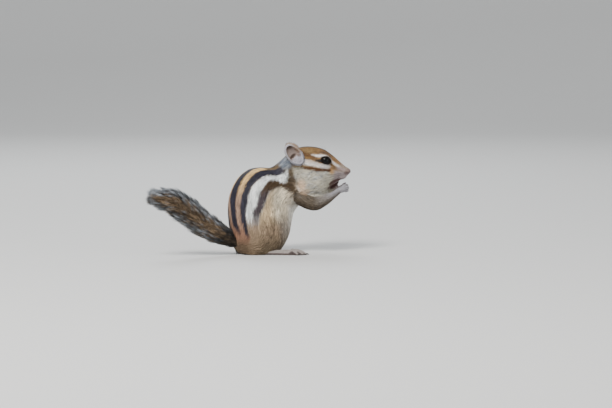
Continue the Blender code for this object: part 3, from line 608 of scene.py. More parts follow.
        # Painted shade along the underside of each foreleg, over the leg's own brown.
        under = (1 - ramp(rise, -2.0, 1.4)) * (1 - ramp(at.arm_share, 0.92, 1.0))
        return layered(
            Hue.UPPER_ARM_AND_SHADE, at.points,
            (Hue.FOREARM, np.maximum(ramp(at.arm_share, 0.4, 0.62), streaks * 0.5)),
            (Hue.WRIST, ramp(at.arm_share, 0.6, 0.86)),
            (Hue.ARM_UNDERSIDE_AND_SHADE, under * 0.85),
        )

    def tint(self) -> Array:
        """The coat's colour at each point.

        Returns:
            One colour per point.
        """
        at = self.at
        head = ramp(at.place, 64.5, 68.5)[:, None]
        base = self.body() * (1 - head) + self.face() * head
        neck = ramp(at.place, 50, 60) * (1 - ramp(at.points[:, 0], 23, 27))
        base = painted(base, Hue.NECK_BROWN, self.NAPE_BAND.weight(at.points) * neck)
        pale = ramp(noise(at.points, (1.3, 1.3, 0.8), 17), 0.0, 0.6)
        nape = self.NAPE.weight(at.points) * neck * ramp(np.abs(at.angle), 4, 12)
        base = painted(base, Hue.SLATE, nape)
        base = painted(base, Hue.CREAM, nape * pale * 0.4)
        base = base * (1 - at.arm[:, None]) + self.foreleg() * at.arm[:, None]
        rim = np.maximum.reduce([1 - ramp(eye.edge(at.points), 1.02, 1.11) for eye in EYES])
        base = painted(base, Hue.LID_SKIN, rim)
        base = painted(base, Hue.CHEEK_PEACH, self.THROAT.weight(at.points))
        # Painted shade behind the forelegs, kept off the white belly.
        base = painted(base, Hue.THIGH, self.BEHIND_ARM_SHADE.weight(at.points) * (1 - self.belly()))
        around = np.radians(at.angle) * at.radius
        streaks = noise(np.column_stack((at.place / 6.0, around / 0.7, around * 0)), 1.0, 5)
        body = (1 - at.head) * (1 - at.arm) * (1 - 0.6 * self.belly())
        tone = 1 + (0.14 + 0.24 * body) * streaks + 0.07 * noise(at.points, 5.0, 8)
        return np.clip(base * tone[:, None], 0.004, 1.0)

    def grizzle(self) -> Array:
        """The share of tufts that are much darker than the colour around them.

        Returns:
            One number per point.
        """
        at = self.at
        body = (1 - at.head) * (1 - at.arm)
        flank = LOWER_STRIPE.past(LOWER_STRIPE.outer, at)
        share = body * ramp(flank, 0, 3) * (0.13 + 0.16 * (1 - ramp(at.points[:, 2], 18, 34)))
        share = 0.01 + share * (1 - 0.85 * self.belly())
        share = share + 0.35 * self.NAPE_BAND.weight(at.points) * ramp(at.place, 50, 60)
        cheek = at.head * (1 - ramp(at.points[:, 2], 58, 61)) * (1 - ramp(at.points[:, 0], 40, 48))
        share = share + 0.1 * at.head * ramp(at.points[:, 2], 61, 64)
        return share + 0.2 * cheek + 0.3 * at.arm * (1 - ramp(at.arm_share, 0.5, 0.8))


def object_of(name: str, mesh: bpy.types.Mesh) -> Piece:
    """A new object in the scene.

    Args:
        name: The piece's name.
        mesh: Its mesh.

    Returns:
        The object.
    """
    made = bpy.data.objects.new(name, mesh)
    bpy.context.scene.collection.objects.link(made)
    return made


def finished(name: str, bm: Shape) -> Piece:
    """A smooth-shaded object of a bmesh, which is used up.

    Args:
        name: The piece's name.
        bm: The shape in metres.

    Returns:
        The object.
    """
    mesh = bpy.data.meshes.new(name)
    bm.to_mesh(mesh)
    bm.free()
    mesh.shade_smooth()
    return object_of(name, mesh)


def object_from(name: str, bm: Shape) -> Piece:
    """An object in the model's frame from a bmesh in millimetres.

    Args:
        name: The piece's name.
        bm: The shape, which is used up.

    Returns:
        The object, faces outwards.
    """
    for vert in bm.verts:
        vert.co = vert.co * MM + ORIGIN
    bmesh.ops.recalc_face_normals(bm, faces=bm.faces)
    return finished(name, bm)


def settled(obj: Piece) -> Piece:
    """obj with its modifiers applied.

    Args:
        obj: A piece with modifiers.

    Returns:
        The same piece.
    """
    bpy.context.view_layer.update()
    graph = bpy.context.evaluated_depsgraph_get()
    mesh = bpy.data.meshes.new_from_object(obj.evaluated_get(graph))
    obj.modifiers.clear()
    obj.data = mesh
    mesh.shade_smooth()
    return obj


def joined(name: str, pieces: list[Piece]) -> Piece:
    """The pieces as one object.

    Args:
        name: The piece's name.
        pieces: The parts, which are removed.

    Returns:
        The new piece.
    """
    bm = bmesh.new()
    for piece in pieces:
        bm.from_mesh(piece.data)
        bpy.data.objects.remove(piece)
    return finished(name, bm)


def blended(obj: Piece, voxel: float, smoothing: int) -> Piece:
    """obj's overlapping shells fused by a voxel remesh and smoothed.

    Args:
        obj: The overlapping shells.
        voxel: Size of the voxels in millimetres.
        smoothing: Rounds of smoothing.

    Returns:
        The same piece.
    """
    remesh = obj.modifiers.new("Blend", "REMESH")
    remesh.mode = "VOXEL"
    remesh.voxel_size = voxel * MM
    smooth = obj.modifiers.new("Soften", "SMOOTH")
    smooth.factor = 0.5
    smooth.iterations = smoothing
    return settled(obj)


def values_of(items: bpy.types.bpy_prop_collection, what: str, width: int, kind: type = np.float32) -> Array:
    """A row of values for each item of a mesh.

    Args:
        items: The mesh's points, edges or the like.
        what: The value that is read.
        width: Numbers for each item.
        kind: Type of the numbers.

    Returns:
        One row for each item.
    """
    flat = np.empty(len(items) * width, kind)
    items.foreach_get(what, flat)
    return flat.reshape(-1, width)


def flat32(values: Array) -> Array:
    """The values in one row, as Blender takes them."""
    return values.astype(np.float32).ravel()


def in_model(points: Array) -> Array:
    """Points in millimetres as metres in the model's frame."""
    return points * MM + np.array(ORIGIN)


def relaxed(obj: Piece, values: Array, weight: Array, times: int) -> Array:
    """Values at obj's points drawn towards those of their neighbours, as far as weight says.

    Args:
        obj: A piece.
        values: A row for each point.
        weight: 0 to keep a row, 1 for the mean of its neighbours.
        times: Rounds.

    Returns:
        The new rows.
    """
    pairs = values_of(obj.data.edges, "vertices", 2, np.int32)
    here, there = pairs.ravel(), pairs[:, ::-1].ravel()
    count = np.bincount(here, minlength=len(values)).clip(1)
    for _ in range(times):
        sums = np.column_stack([np.bincount(here, column[there], len(values)) for column in values.T])
        values = values + (sums / count[:, None] - values) * weight[:, None]
    return values


def unwrap(obj: Piece) -> None:
    """Gives obj an unwrap of its own shape.

    Args:
        obj: A piece.
    """
    for other in bpy.context.selected_objects:
        other.select_set(False)
    obj.select_set(True)
    bpy.context.view_layer.objects.active = obj
    obj.data.uv_layers.new(name=COAT_UV)
    bpy.ops.object.mode_set(mode="EDIT")
    bpy.ops.mesh.select_all(action="SELECT")
    bpy.ops.uv.smart_project(angle_limit=math.radians(66), island_margin=0.002)
    bpy.ops.object.mode_set(mode="OBJECT")


def walls(bm: Shape, loops: list[list]) -> None:
    """Faces between loops of points, each loop joined to the next.

    Args:
        bm: Takes the faces.
        loops: Closed loops of as many points each.
    """
    for low, high in zip(loops, loops[1:]):
        for i, j in zip(range(len(low)), (*range(1, len(low)), 0)):
            bm.faces.new((low[i], low[j], high[j], high[i]))


def tube(points: Array, radii: list[float], sides: int = 12, flat: float = 1.0,
         flat_axis: tuple | Vector = (0, 0, 1), dome: int = 3) -> Shape:
    """A closed round limb.

    Args:
        points: Its middle line.
        radii: One for each point.
        sides: Points round it.
        flat: How far it is squeezed along flat_axis.
        flat_axis: The way it is squeezed.
        dome: Rings that round each end.

    Returns:
        The shape.
    """
    bm = bmesh.new()
    path = [Vector(p) for p in points]
    squeeze = Vector(flat_axis).normalized()
    loops = []
    for i, centre in enumerate(path):
        along = (path[min(i + 1, len(path) - 1)] - path[max(i - 1, 0)]).normalized()
        across = along.cross(squeeze)
        across = (across if across.length > 0.05 else along.orthogonal()).normalized()
        up = across.cross(along)
        rings = [(centre, radii[i])]
        if i in (0, len(path) - 1):
            way = -along if i == 0 else along
            rings += [(centre + way * radii[i] * math.sin(a), radii[i] * math.cos(a))
                      for a in np.linspace(0, 1.42, dome + 1)[1:]]
            rings = rings[::-1] if i == 0 else rings
        for middle, radius in rings:
            loops.append([
                bm.verts.new(middle + across * radius * math.cos(a) + up * radius * flat * math.sin(a))
                for a in np.linspace(0, math.tau, sides, endpoint=False)
            ])
    walls(bm, loops)
    bm.faces.new(loops[0][::-1])
    bm.faces.new(loops[-1])
    return bm


def limb(name: str, points: tuple, radii: tuple, steps: int = 12, **shape: float | Vector) -> Piece:
    """A limb along a smooth path through the points."""
    rows = smooth_rows([(*p, r) for p, r in zip(points, radii)], steps)
    return object_from(name, tube(rows[:, :3], list(rows[:, 3]), **shape))


def ball(name: str, centre: tuple, radii: tuple, turn: Matrix | None = None, segments: int = 32) -> Piece:
    """An ellipsoid, turned by a matrix if one is given.

    Args:
        name: The piece's name.
        centre: Its middle.
        radii: Its half sizes.
        turn: Its turn, if any.
        segments: Faces round it.

    Returns:
        The object.
    """
    bm = bmesh.new()
    bmesh.ops.create_uvsphere(bm, u_segments=segments, v_segments=segments * 5 // 8, radius=1.0)
    place = Matrix.Translation(centre) @ (turn or Matrix()) @ Matrix.Diagonal((*radii, 1.0))
    bmesh.ops.transform(bm, matrix=place, verts=bm.verts)
    return object_from(name, bm)


def side_of(sign: int, place: tuple) -> Vector:
    """A point of the head given as X, distance from its middle plane and Z."""
    return Vector((place[0], HEAD_Y + sign * place[1], place[2]))


@dataclass(frozen=True)
class Finish:
    """A material of bare skin, horn or hair."""

    name: str
    hue: Hue | None  # none where the mesh's own layer carries the colour
    roughness: float
    grain: float = 0.0004  # size of the fine relief, in metres
    relief: float = 0.25
    variety: float = 0.15
    specular: float = 0.35
    coat: float = 0.0
    sheen: float = 0.0


def add_node(tree: bpy.types.NodeTree, kind: str, values: dict, **settings: str) -> bpy.types.NodeOutputs:
    """A new shader node.

    Args:
        tree: Takes the node.
        kind: Its type without the first word.
        values: See set_inputs.
        settings: The node's own settings.

    Returns:
        The node's outputs.
    """
    made = tree.nodes.new(f"ShaderNode{kind}")
    for name, value in settings.items():
        setattr(made, name, value)
    set_inputs(tree, made, values)
    return made.outputs


def set_inputs(tree: bpy.types.NodeTree, node: bpy.types.Node, values: dict) -> None:
    """Sets a node's inputs to plain values, or links them where an output is given.

    Args:
        tree: Holds the node.
        node: The node.
        values: A value or an output for each input.
    """
    for name, value in values.items():
        if isinstance(value, bpy.types.NodeSocket):
            tree.links.new(value, node.inputs[name])
        else:
            node.inputs[name].default_value = value


def new_material(name: str) -> tuple[bpy.types.Material, bpy.types.NodeTree, bpy.types.Node]:
    """A new material with its tree and its shader.

    Args:
        name: The material's name.

    Returns:
        The three of them.
    """
    made = bpy.data.materials.new(name)
    made.use_nodes = True
    return made, made.node_tree, made.node_tree.nodes["Principled BSDF"]


class Workshop:
    """Makes the materials, with node groups that they share."""

    def __init__(self) -> None:
        """Makes the shared group."""
        self.grain = self.grain_group()

    @staticmethod
    def grain_group() -> bpy.types.NodeTree:
        """A group that varies a colour and gives a fine relief.

        Returns:
            The group, with a colour and a normal as outputs.
        """
        group = bpy.data.node_groups.new("FineGrain", "ShaderNodeTree")
        for name, way, kind in (("Colour", "INPUT", "Color"), ("Scale", "INPUT", "Float"),
                                ("Variety", "INPUT", "Float"), ("Relief", "INPUT", "Float"),
                                ("Colour", "OUTPUT", "Color"), ("Normal", "OUTPUT", "Vector")):
            group.interface.new_socket(name, in_out=way, socket_type=f"NodeSocket{kind}")
        given = group.nodes.new("NodeGroupInput").outputs
        where = add_node(group, "TexCoord", {})["Object"]
        fine = add_node(group, "TexNoise", {"Detail": 3.0, "Vector": where, "Scale": given["Scale"]})["Fac"]
        low = add_node(group, "Math", {0: 1.0, 1: given["Variety"]}, operation="SUBTRACT")[0]
        high = add_node(group, "Math", {0: 1.0, 1: given["Variety"]}, operation="ADD")[0]
        limits = {"From Min": 0.3, "From Max": 0.7, "To Min": low, "To Max": high}
        spread = add_node(group, "MapRange", {"Value": fine, **limits})["Result"]
        tone = add_node(group, "VectorMath", {0: given["Colour"], "Scale": spread}, operation="SCALE")
        relief = {"Distance": 0.0002, "Strength": given["Relief"], "Height": fine}
        bump = add_node(group, "Bump", relief)["Normal"]
        set_inputs(group, group.nodes.new("NodeGroupOutput"), {"Colour": tone["Vector"], "Normal": bump})
        return group

    def make(self, finish: Finish) -> bpy.types.Material:
        """The material of a finish.

        Args:
            finish: What it looks like.

        Returns:
            The material.
        """
        made, tree, shader = new_material(finish.name)
        grain = tree.nodes.new("ShaderNodeGroup")
        grain.node_tree = self.grain
        if finish.hue is None:
            colour = add_node(tree, "Attribute", {}, attribute_name=TINT_LAYER)["Color"]
        else:
            colour = (*finish.hue.value, 1.0)
        set_inputs(tree, grain, {
            "Scale": 1.0 / finish.grain, "Variety": finish.variety, "Relief": finish.relief, "Colour": colour,
        })
        set_inputs(tree, shader, {
            "Roughness": finish.roughness, "Specular IOR Level": finish.specular, "Coat Weight": finish.coat,
            "Coat Roughness": 0.06, "Sheen Weight": finish.sheen, "Sheen Roughness": 0.5,
            "Base Color": grain.outputs["Colour"], "Normal": grain.outputs["Normal"],
        })
        return made


def tinted(obj: Piece, colours: Array) -> None:
    """Gives obj's points their colours."""
    layer = obj.data.color_attributes.new(TINT_LAYER, "FLOAT_COLOR", "POINT")
    layer.data.foreach_set("color", flat32(np.column_stack((colours, np.ones(len(colours))))))


def placed(obj: Piece, material: bpy.types.Material, slot: str, *nodes: str) -> Piece:
    """Gives a finished piece its material, hangs it on the root and hides the nodes that it stands for.

    Args:
        obj: The piece.
        material: Its only material.
        slot: Not used.
        nodes: Nodes that it stands for.

    Returns:
        The same piece.
    """
    obj.data.materials.clear()
    obj.data.materials.append(material)
    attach(obj, "root")
    if nodes:
        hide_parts(*nodes)
    LOG.info("%s: %d faces", obj.name, len(obj.data.polygons))
    return obj


def points_of(obj: Piece) -> Array:
    """obj's points in millimetres."""
    return (values_of(obj.data.vertices, "co", 3).astype(float) - np.array(ORIGIN)) / MM


def move_points(obj: Piece, points: Array) -> None:
    """Sets obj's points from millimetres."""
    obj.data.vertices.foreach_set("co", flat32(in_model(points)))
    obj.data.update()


def normals_of(obj: Piece) -> Array:
    """The normals at obj's points."""
    return values_of(obj.data.vertex_normals, "vector", 3).astype(float)


@dataclass(frozen=True)
class Roots:
    """Random points on a surface."""

    corners: Array  # (n, 3) point indices
    shares: Array  # (n, 3)
    points: Array
    normals: Array
    uvs: Array

    def mixed(self, values: Array) -> Array:
        """Values given at the surface's points, at the roots."""
        shares = self.shares.reshape(*self.shares.shape, *[1] * (values.ndim - 1))
        return (values[self.corners] * shares).sum(axis=1)

class Surface:
    """A mesh's points, normals, triangles and unwrap as arrays."""

    def __init__(self, obj: Piece) -> None:
        """Reads an unwrapped piece.

        Args:
            obj: The piece.
        """
        mesh = obj.data
        mesh.calc_loop_triangles()
        self.points = points_of(obj)
        self.normals = normals_of(obj)
        self.triangles = values_of(mesh.loop_triangles, "vertices", 3, np.int32)
        loops = values_of(mesh.loop_triangles, "loops", 3, np.int32)
        self.uvs = values_of(mesh.uv_layers[COAT_UV].data, "uv", 2)[loops]
        a, b, c = (self.points[self.triangles[:, k]] for k in range(3))
        self.areas = np.linalg.norm(np.cross(b - a, c - a), axis=1) / 2
        self.tree = BVHTree.FromPolygons(self.points.tolist(), self.triangles.tolist())

    def sample(self, count: int, density: Array, rng: np.random.Generator) -> Roots:
        """Random roots, thicker where density is higher.

        Args:
            count: How many.
            density: At the surface's points.
            rng: Source of the random draws.

        Returns:
            The roots.
        """
        weight = self.areas * density[self.triangles].mean(axis=1)
        edges = np.cumsum(weight)
        pick = np.searchsorted(edges, rng.random(count) * edges[-1])
        pick = np.minimum(pick, len(self.areas) - 1)
        u, v = rng.random(count), rng.random(count)
        flip = u + v > 1
        u, v = np.where(flip, 1 - u, u), np.where(flip, 1 - v, v)
        shares = np.column_stack((1 - u - v, u, v))
        corners = self.triangles[pick]
        points = (self.points[corners] * shares[:, :, None]).sum(axis=1)
        normals = unit((self.normals[corners] * shares[:, :, None]).sum(axis=1))
        uvs = (self.uvs[pick] * shares[:, :, None]).sum(axis=1)
        return Roots(corners, shares, points, normals, uvs)

    def nearest(self, points: Array) -> tuple[Array, Array]:
        """The surface's nearest points and the triangles that they lie on."""
        found = [self.tree.find_nearest(p) for p in points.tolist()]
        return np.array([f[0] for f in found]), np.array([f[2] for f in found])


def shaded(colour: Array, tones: tuple) -> Array:
    """Each strand's colour times the tones from its root to its tip."""
    return np.clip(np.stack([colour * tone for tone in tones], axis=1), DARKEST, 1.0)


@dataclass(frozen=True)
class Strands:
    """Hairs or tufts as solid tapered slivers of three sides."""

    centres: Array  # (n, rings, 3)
    tips: Array  # (n, 3)
    sides: Array  # (n, 3)
    ups: Array  # (n, 3) way out of the skin
    widths: Array  # (n, rings)
    colours: Array  # (n, rings + 1, 3)
    uvs: Array  # (n, 2)

    def part(self, chosen: Array) -> "Strands":
        """Some of the strands."""
        return Strands(*(getattr(self, field.name)[chosen] for field in fields(self)))

    def faces(self) -> Array:
        """Triangles of every strand.

        Returns:
            Three point numbers for each face.
        """
        rings = self.centres.shape[1]
        sides = ((0, 1), (1, 2), (2, 0))
        one = [(0, 2, 1)]
        for k in range(rings - 1):
            for i, j in sides:
                one += [(3 * k + i, 3 * k + j, 3 * k + 3 + j), (3 * k + i, 3 * k + 3 + j, 3 * k + 3 + i)]
        last = 3 * (rings - 1)
        one += [(last + i, last + j, 3 * rings) for i, j in sides]
        each = 3 * rings + 1
        return (np.array(one)[None, :, :] + (np.arange(len(self.tips)) * each)[:, None, None]).reshape(-1, 3)

    def build(self, name: str, roundness: float = 0.6) -> Piece:
        """The mesh of the strands, its shading partly that of the skin below.

        Args:
            name: The piece's name.
            roundness: Share of a strand's own shading.

        Returns:
            The piece.
        """
        count, rings = self.centres.shape[:2]
        half = self.widths[:, :, None, None] / 2
        across = self.sides[:, None, None, :] * np.array((1, -1, 0))[None, None, :, None]
        rise = self.ups[:, None, None, :] * np.array((-0.25, -0.25, 0.7))[None, None, :, None]
        points = self.centres[:, :, None, :] + half * (across + rise)
        points = np.concatenate((points.reshape(count, -1, 3), self.tips[:, None, :]), axis=1)
        normals = np.concatenate((np.repeat(across + rise, rings, axis=1).reshape(count, -1, 3) * roundness
                                  + self.ups[:, None, :], self.ups[:, None, :]), axis=1)
        colours = np.concatenate((np.repeat(self.colours[:, :-1], 3, axis=1), self.colours[:, -1:]), axis=1)
        steps = np.repeat(np.arange(rings), 3) / rings
        offset_x = np.append(np.tile((1.0, -1.0, 0.0), rings) * (1 - 0.8 * steps), 0.0) * UV_PATCH * 0.45
        offset_y = (np.append(steps, 1.0) - 0.5) * UV_PATCH
        uvs = np.clip(self.uvs[:, None, :] + np.column_stack((offset_x, offset_y))[None, :, :], 0.0, 1.0)
        faces = self.faces()
        mesh = bpy.data.meshes.new(name)
        mesh.vertices.add(count * (3 * rings + 1))
        mesh.vertices.foreach_set("co", flat32(in_model(points)))
        mesh.loops.add(faces.size)
        mesh.loops.foreach_set("vertex_index", faces.ravel().astype(np.int32))
        mesh.polygons.add(len(faces))
        mesh.polygons.foreach_set("loop_start", np.arange(0, faces.size, 3, dtype=np.int32))
        mesh.update(calc_edges=True)
        mesh.shade_smooth()
        layer = mesh.uv_layers.new(name=COAT_UV)
        layer.data.foreach_set("uv", flat32(uvs.reshape(-1, 2)[faces.ravel()]))
        free = mesh.attributes.new("custom_normal", "FLOAT_VECTOR", "POINT")
        free.data.foreach_set("vector", flat32(unit(normals)))
        obj = object_of(name, mesh)
        tinted(obj, colours.reshape(-1, 3))
        return obj


@dataclass(frozen=True)
class EyeShape:
    """One eye, with the frame of its opening."""

    sign: int
    radius: float = 3.97
    slant: float = math.radians(14)
    faces: tuple = (0.16, 1, 0.14)  # forwards, outwards and up
    stand: float = 3.0  # of the lids' plane from the eye's middle
    half_length: float = 3.5
    half_height: float = 2.65

    @property
    def centre(self) -> Vector:
        """The eye's middle."""
        return side_of(self.sign, EYE_PLACE)

    def matrix(self) -> Matrix:
        """X along the opening, Y up it and Z out of the head, from the eye's middle.

        Returns:
            The frame.
        """
        out = Vector((self.faces[0], self.sign * self.faces[1], self.faces[2])).normalized()
        along = Vector((math.cos(self.slant), 0, -math.sin(self.slant)))
        along = (along - out * along.dot(out)).normalized()
        turn = Matrix((along, out.cross(along), out)).transposed().to_4x4()
        return Matrix.Translation(self.centre) @ turn

    def local(self, points: Array) -> Array:
        """Points in the opening's frame, with Y up on both sides."""
        turn = np.array(self.matrix().to_3x3())
        return (points - np.array(self.centre)) @ turn * np.array((1, self.upright, 1))

    @property
    def upright(self) -> int:
        """1 where the frame's Y points up and -1 where it points down."""
        return 1 if self.matrix().to_3x3().col[1].z > 0 else -1

    def edge(self, points: Array) -> Array:
        """1 on the lids' outer edge and less inside it; high where the point isn't near the eye.

        Args:
            points: In millimetres.

        Returns:
            One number per point.
        """
        x, y, z = self.local(points).T
        reach = np.where(x < 0, self.half_length + 0.7, self.half_length + 0.5)
        return np.hypot(x / reach, y / (self.half_height + 0.3)) + 8.0 * (1 - ramp(z, -0.5, 2.0))


EYES = (EyeShape(-1), EyeShape(1))


@dataclass
class Pelt:
    """Depth of the coat, and length, width, thickness and lie of its tufts."""

    at: Survey
    normals: Array
    under_lids: float = 0.35  # the skin's depth at the lids
    rump_way: tuple = (-0.85, -0.45, -0.1)  # the lie of the hair at the tail's root

    def blend(self, trunk: float, head: float, muzzle: float, shoulder: float, wrist: float) -> Array:
        """A value over the body from those of its parts.

        Args:
            trunk: Value on the trunk.
            head: On the head.
            muzzle: At the nose.
            shoulder: At a foreleg's root.
            wrist: At its end.

        Returns:
            One number per point.
        """
        at = self.at
        value = trunk + (head - trunk) * at.head
        value = value + (muzzle - value) * at.muzzle
        arm = shoulder + (wrist - shoulder) * ramp(at.arm_share, 0.1, 0.8)
        return value + (arm - value) * at.arm

    def near_eye(self) -> Array:
        """0 at the lids, 1 away from them."""
        edge = np.minimum.reduce([eye.edge(self.at.points) for eye in EYES])
        return ramp(edge, 1.0, 2.2)

    def depth(self) -> Array:
        """How far the skin lies under the coat's tips.

        Returns:
            Millimetres for each point.
        """
        depth = self.blend(1.5, 1.0, 0.3, 0.9, 0.35)
        near = self.near_eye()
        depth = depth * near + self.under_lids * (1 - near)
        depth = depth - 0.4 * ramp(self.at.points[:, 0], 57.0, 60.0)
        crease = 4 * self.at.arm * (1 - self.at.arm)
        return depth * ramp(self.at.points[:, 2], -1.5, 2.5) * (1 - 0.85 * crease)

    def length(self) -> Array:
        """Lengths of the tufts.

        Returns:
            Millimetres for each point.
        """
        nape = Markings.NAPE.weight(self.at.points) * ramp(self.at.place, 50, 60)
        low = 1 - ramp(self.at.points[:, 2], 2.5, 12)
        whole = self.blend(6.2, 3.8, 1.25, 4.2, 2.0)
        return whole * (0.4 + 0.6 * self.near_eye()) * (1 + 0.3 * nape + 0.35 * low)

    def width(self) -> Array:
        """Widths of the tufts."""
        return self.blend(0.45, 0.31, 0.2, 0.34, 0.25) * (0.65 + 0.35 * self.near_eye())

    def density(self) -> Array:
        """Tufts for an area, compared with the trunk.

        Returns:
            One number per point.
        """
        bare = Nose.bare(self.at.points) * Mouth.bare(self.at.points)
        rim = np.minimum.reduce([ramp(eye.edge(self.at.points), 0.96, 1.0) for eye in EYES])
        floor = ramp(self.at.points[:, 2], 0.0, 0.8)
        return self.blend(1.0, 2.1, 4.6, 1.6, 2.6) * (2.2 - 1.2 * self.near_eye()) * bare * rim * floor

    def flow(self) -> Array:
        """The way the tufts lie, along the surface.

        Returns:
            A unit vector for each point.
        """
        at = self.at
        way = -at.along
        down = np.array((0, 0, -1.0))
        way = way + down * (0.35 * at.head * (1 - ramp(at.points[:, 2], 56, 66)))[:, None]
        rump = (1 - ramp(at.points[:, 2], 8, 22)) * (1 - ramp(at.angle, 40, 110))
        way = way + (unit(np.array(self.rump_way)) - way) * (rump * 0.8)[:, None]
        way = way + (at.arm_way - way) * at.arm[:, None]
        way = flattened(way, self.normals)
        for eye in EYES:
            outwards = flattened(at.points - np.array(eye.centre), self.normals)
            close = 1 - ramp(eye.edge(at.points), 1.5, 2.6)
            towards = np.minimum((way * outwards).sum(axis=1), 0.0) * close
            way = unit(way - outwards * (1.15 * towards)[:, None])
        return way


ARM_NODES = ("foreleg_right", "foreleg_left")


@dataclass
class Body:
    """The skin of trunk, neck, head, thighs and forelegs, and the coat on it."""

    workshop: Workshop
    plugs: tuple = (((34.5, -3.6, 40.6), (5.5, 2.6, 2.6)), ((32.5, 18.4, 40.6), (5.5, 2.6, 2.6)))
    flesh: tuple = ("head", "neck", "torso", "hind_leg_right", "hind_leg_left", *ARM_NODES)
    growth: float = 0.3  # closes the gaps between the nodes
    voxel: float = 0.6
    tuft_count: int = 110000
    shown: float = 0.7  # the place along a tuft whose colour on the body it takes
    tones: tuple = (0.62, 0.95, 1.14)  # from a tuft's root to its tip
    skin_tone: float = 0.62
    eye_radii: tuple = (5.6, 6.6)  # from an eye's middle, within which the skin is smoothed
    seed: int = 21

    def __post_init__(self) -> None:
        """Makes the skin and works out its coat."""
        self.skin = self.make_skin()
        self.at = self.survey(points_of(self.skin))
        self.normals = normals_of(self.skin)
        pelt = Pelt(self.at, self.normals)
        self.depth = pelt.depth()
        self.length = pelt.length()
        self.width = pelt.width()
        self.density = pelt.density()
        self.flow = pelt.flow()
        markings = Markings(self.at)
        self.tint = markings.tint()
        self.grizzle = markings.grizzle()

    def make_skin(self) -> Piece:
        """One smooth closed surface out of the flesh nodes.

        Returns:
            The skin, still at the height of the coat.
        """
        bm = bmesh.new()
        for name in self.flesh:
            part = bmesh.new()
            part.from_mesh(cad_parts[name].data)
            bmesh.ops.remove_doubles(part, verts=part.verts, dist=1e-7)
            part.normal_update()
            for vert in part.verts:
                vert.co += vert.normal * self.growth * MM
            piece = bpy.data.meshes.new("flesh")
            part.to_mesh(piece)
            part.free()
            bm.from_mesh(piece)
        plugs = [ball("plug", centre, radii) for centre, radii in self.plugs]
        skin = blended(joined("skin", [finished("flesh", bm), *plugs]), self.voxel, 10)
        self.keep_outside(skin)
        return skin

    @staticmethod
    def keep_outside(obj: Piece) -> None:
        """Removes closed surfaces that lie inside obj.

        Args:
            obj: A closed piece.
        """
        bm = bmesh.new()
        bm.from_mesh(obj.data)
        bm.verts.ensure_lookup_table()
        start = max(bm.verts, key=lambda vert: vert.co.z)
        seen, stack = {start}, [start]
        while stack:
            for edge in stack.pop().link_edges:
                for vert in edge.verts:
                    if vert not in seen:
                        seen.add(vert)
                        stack.append(vert)
        bmesh.ops.delete(bm, geom=[vert for vert in bm.verts if vert not in seen], context="VERTS")
        bm.to_mesh(obj.data)
        bm.free()

    @staticmethod
    def survey(points: Array) -> Survey:
        """Where the points lie on the animal.

        Args:
            points: In millimetres.

        Returns:
            Their survey.
        """
        place, angle, radius, along = Spine().locate(points)
        rows, ways = zip(*(leg.rows() for leg in FORELEGS.values()))
        lines = np.vstack(rows)
        i, _ = nearest_rows(points, lines)
        share = (i % len(rows[0])) / (len(rows[0]) - 1)
        way = np.vstack(ways)[i]
        arm = Body.closeness(points, ARM_NODES, ("head", "neck", "torso"))
        return Survey(points, place, angle, radius, along, arm, share, way, points[:, 2] - lines[i, 2])

    @staticmethod
    def closeness(points: Array, wanted: tuple, others: tuple) -> Array:
        """1 at points that lie on the wanted nodes, 0 on the others.

        Args:
            points: In millimetres.
            wanted: Names of nodes.
            others: Names of nodes.

        Returns:
            One number per point.
        """
        distances = []
        for names in (wanted, others):
            bm = bmesh.new()
            for name in names:
                bm.from_mesh(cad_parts[name].data)
            tree = BVHTree.FromBMesh(bm)
            bm.free()
            found = [tree.find_nearest(p)[3] for p in in_model(points).tolist()]
            distances.append(np.array(found) / MM)
        return ramp(distances[1] - distances[0], -0.7, 0.9)

    def dress(self) -> None:
        """Draws the skin in, colours it and covers it with its coat."""
        drawn = self.growth + self.depth
        near = np.zeros(len(drawn))
        for eye in EYES:
            off = self.at.points - np.array(eye.centre)
            close = 1 - ramp(np.linalg.norm(off, axis=1), *self.eye_radii)
            hollow = ramp(-(unit(off) * self.normals).sum(axis=1), -0.3, 0.3)
            drawn = drawn * (1 - close * hollow)
            near = np.maximum(near, close)
        drawn = relaxed(self.skin, drawn[:, None], near * 0.5, 2)
        points = self.at.points - self.normals * drawn
        move_points(self.skin, relaxed(self.skin, points, near * 0.5, 3))
        unwrap(self.skin)
        tinted(self.skin, self.tint * self.skin_tone)
        finish = Finish("body_skin", None, 0.75, 0.0005, 0.6, 0.25, 0.2)
        placed(self.skin, self.workshop.make(finish), "body_fur", *self.flesh)
        self.cover(Surface(self.skin))

    def cover(self, surface: Surface) -> None:
        """Grows the coat's tufts in pieces.

        Args:
            surface: The skin.
        """
        rng = np.random.default_rng(self.seed)
        count = self.tuft_count
        roots = surface.sample(count, self.density, rng)
        strands = self.tufts(surface, roots, rng)
        fur = self.workshop.make(Finish("coat", None, 0.62, 0.0003, 0.0, 0.1, 0.22, sheen=0.06))
        order = np.argsort(roots.mixed(self.at.place), kind="stable")[: len(strands.tips)]
        pieces = max(1, math.ceil(len(order) / TUFTS_IN_A_PIECE))
        for number, chosen in enumerate(np.array_split(order, pieces)):
            placed(strands.part(chosen).build(f"coat_{number + 1}"), fur, "body_fur")

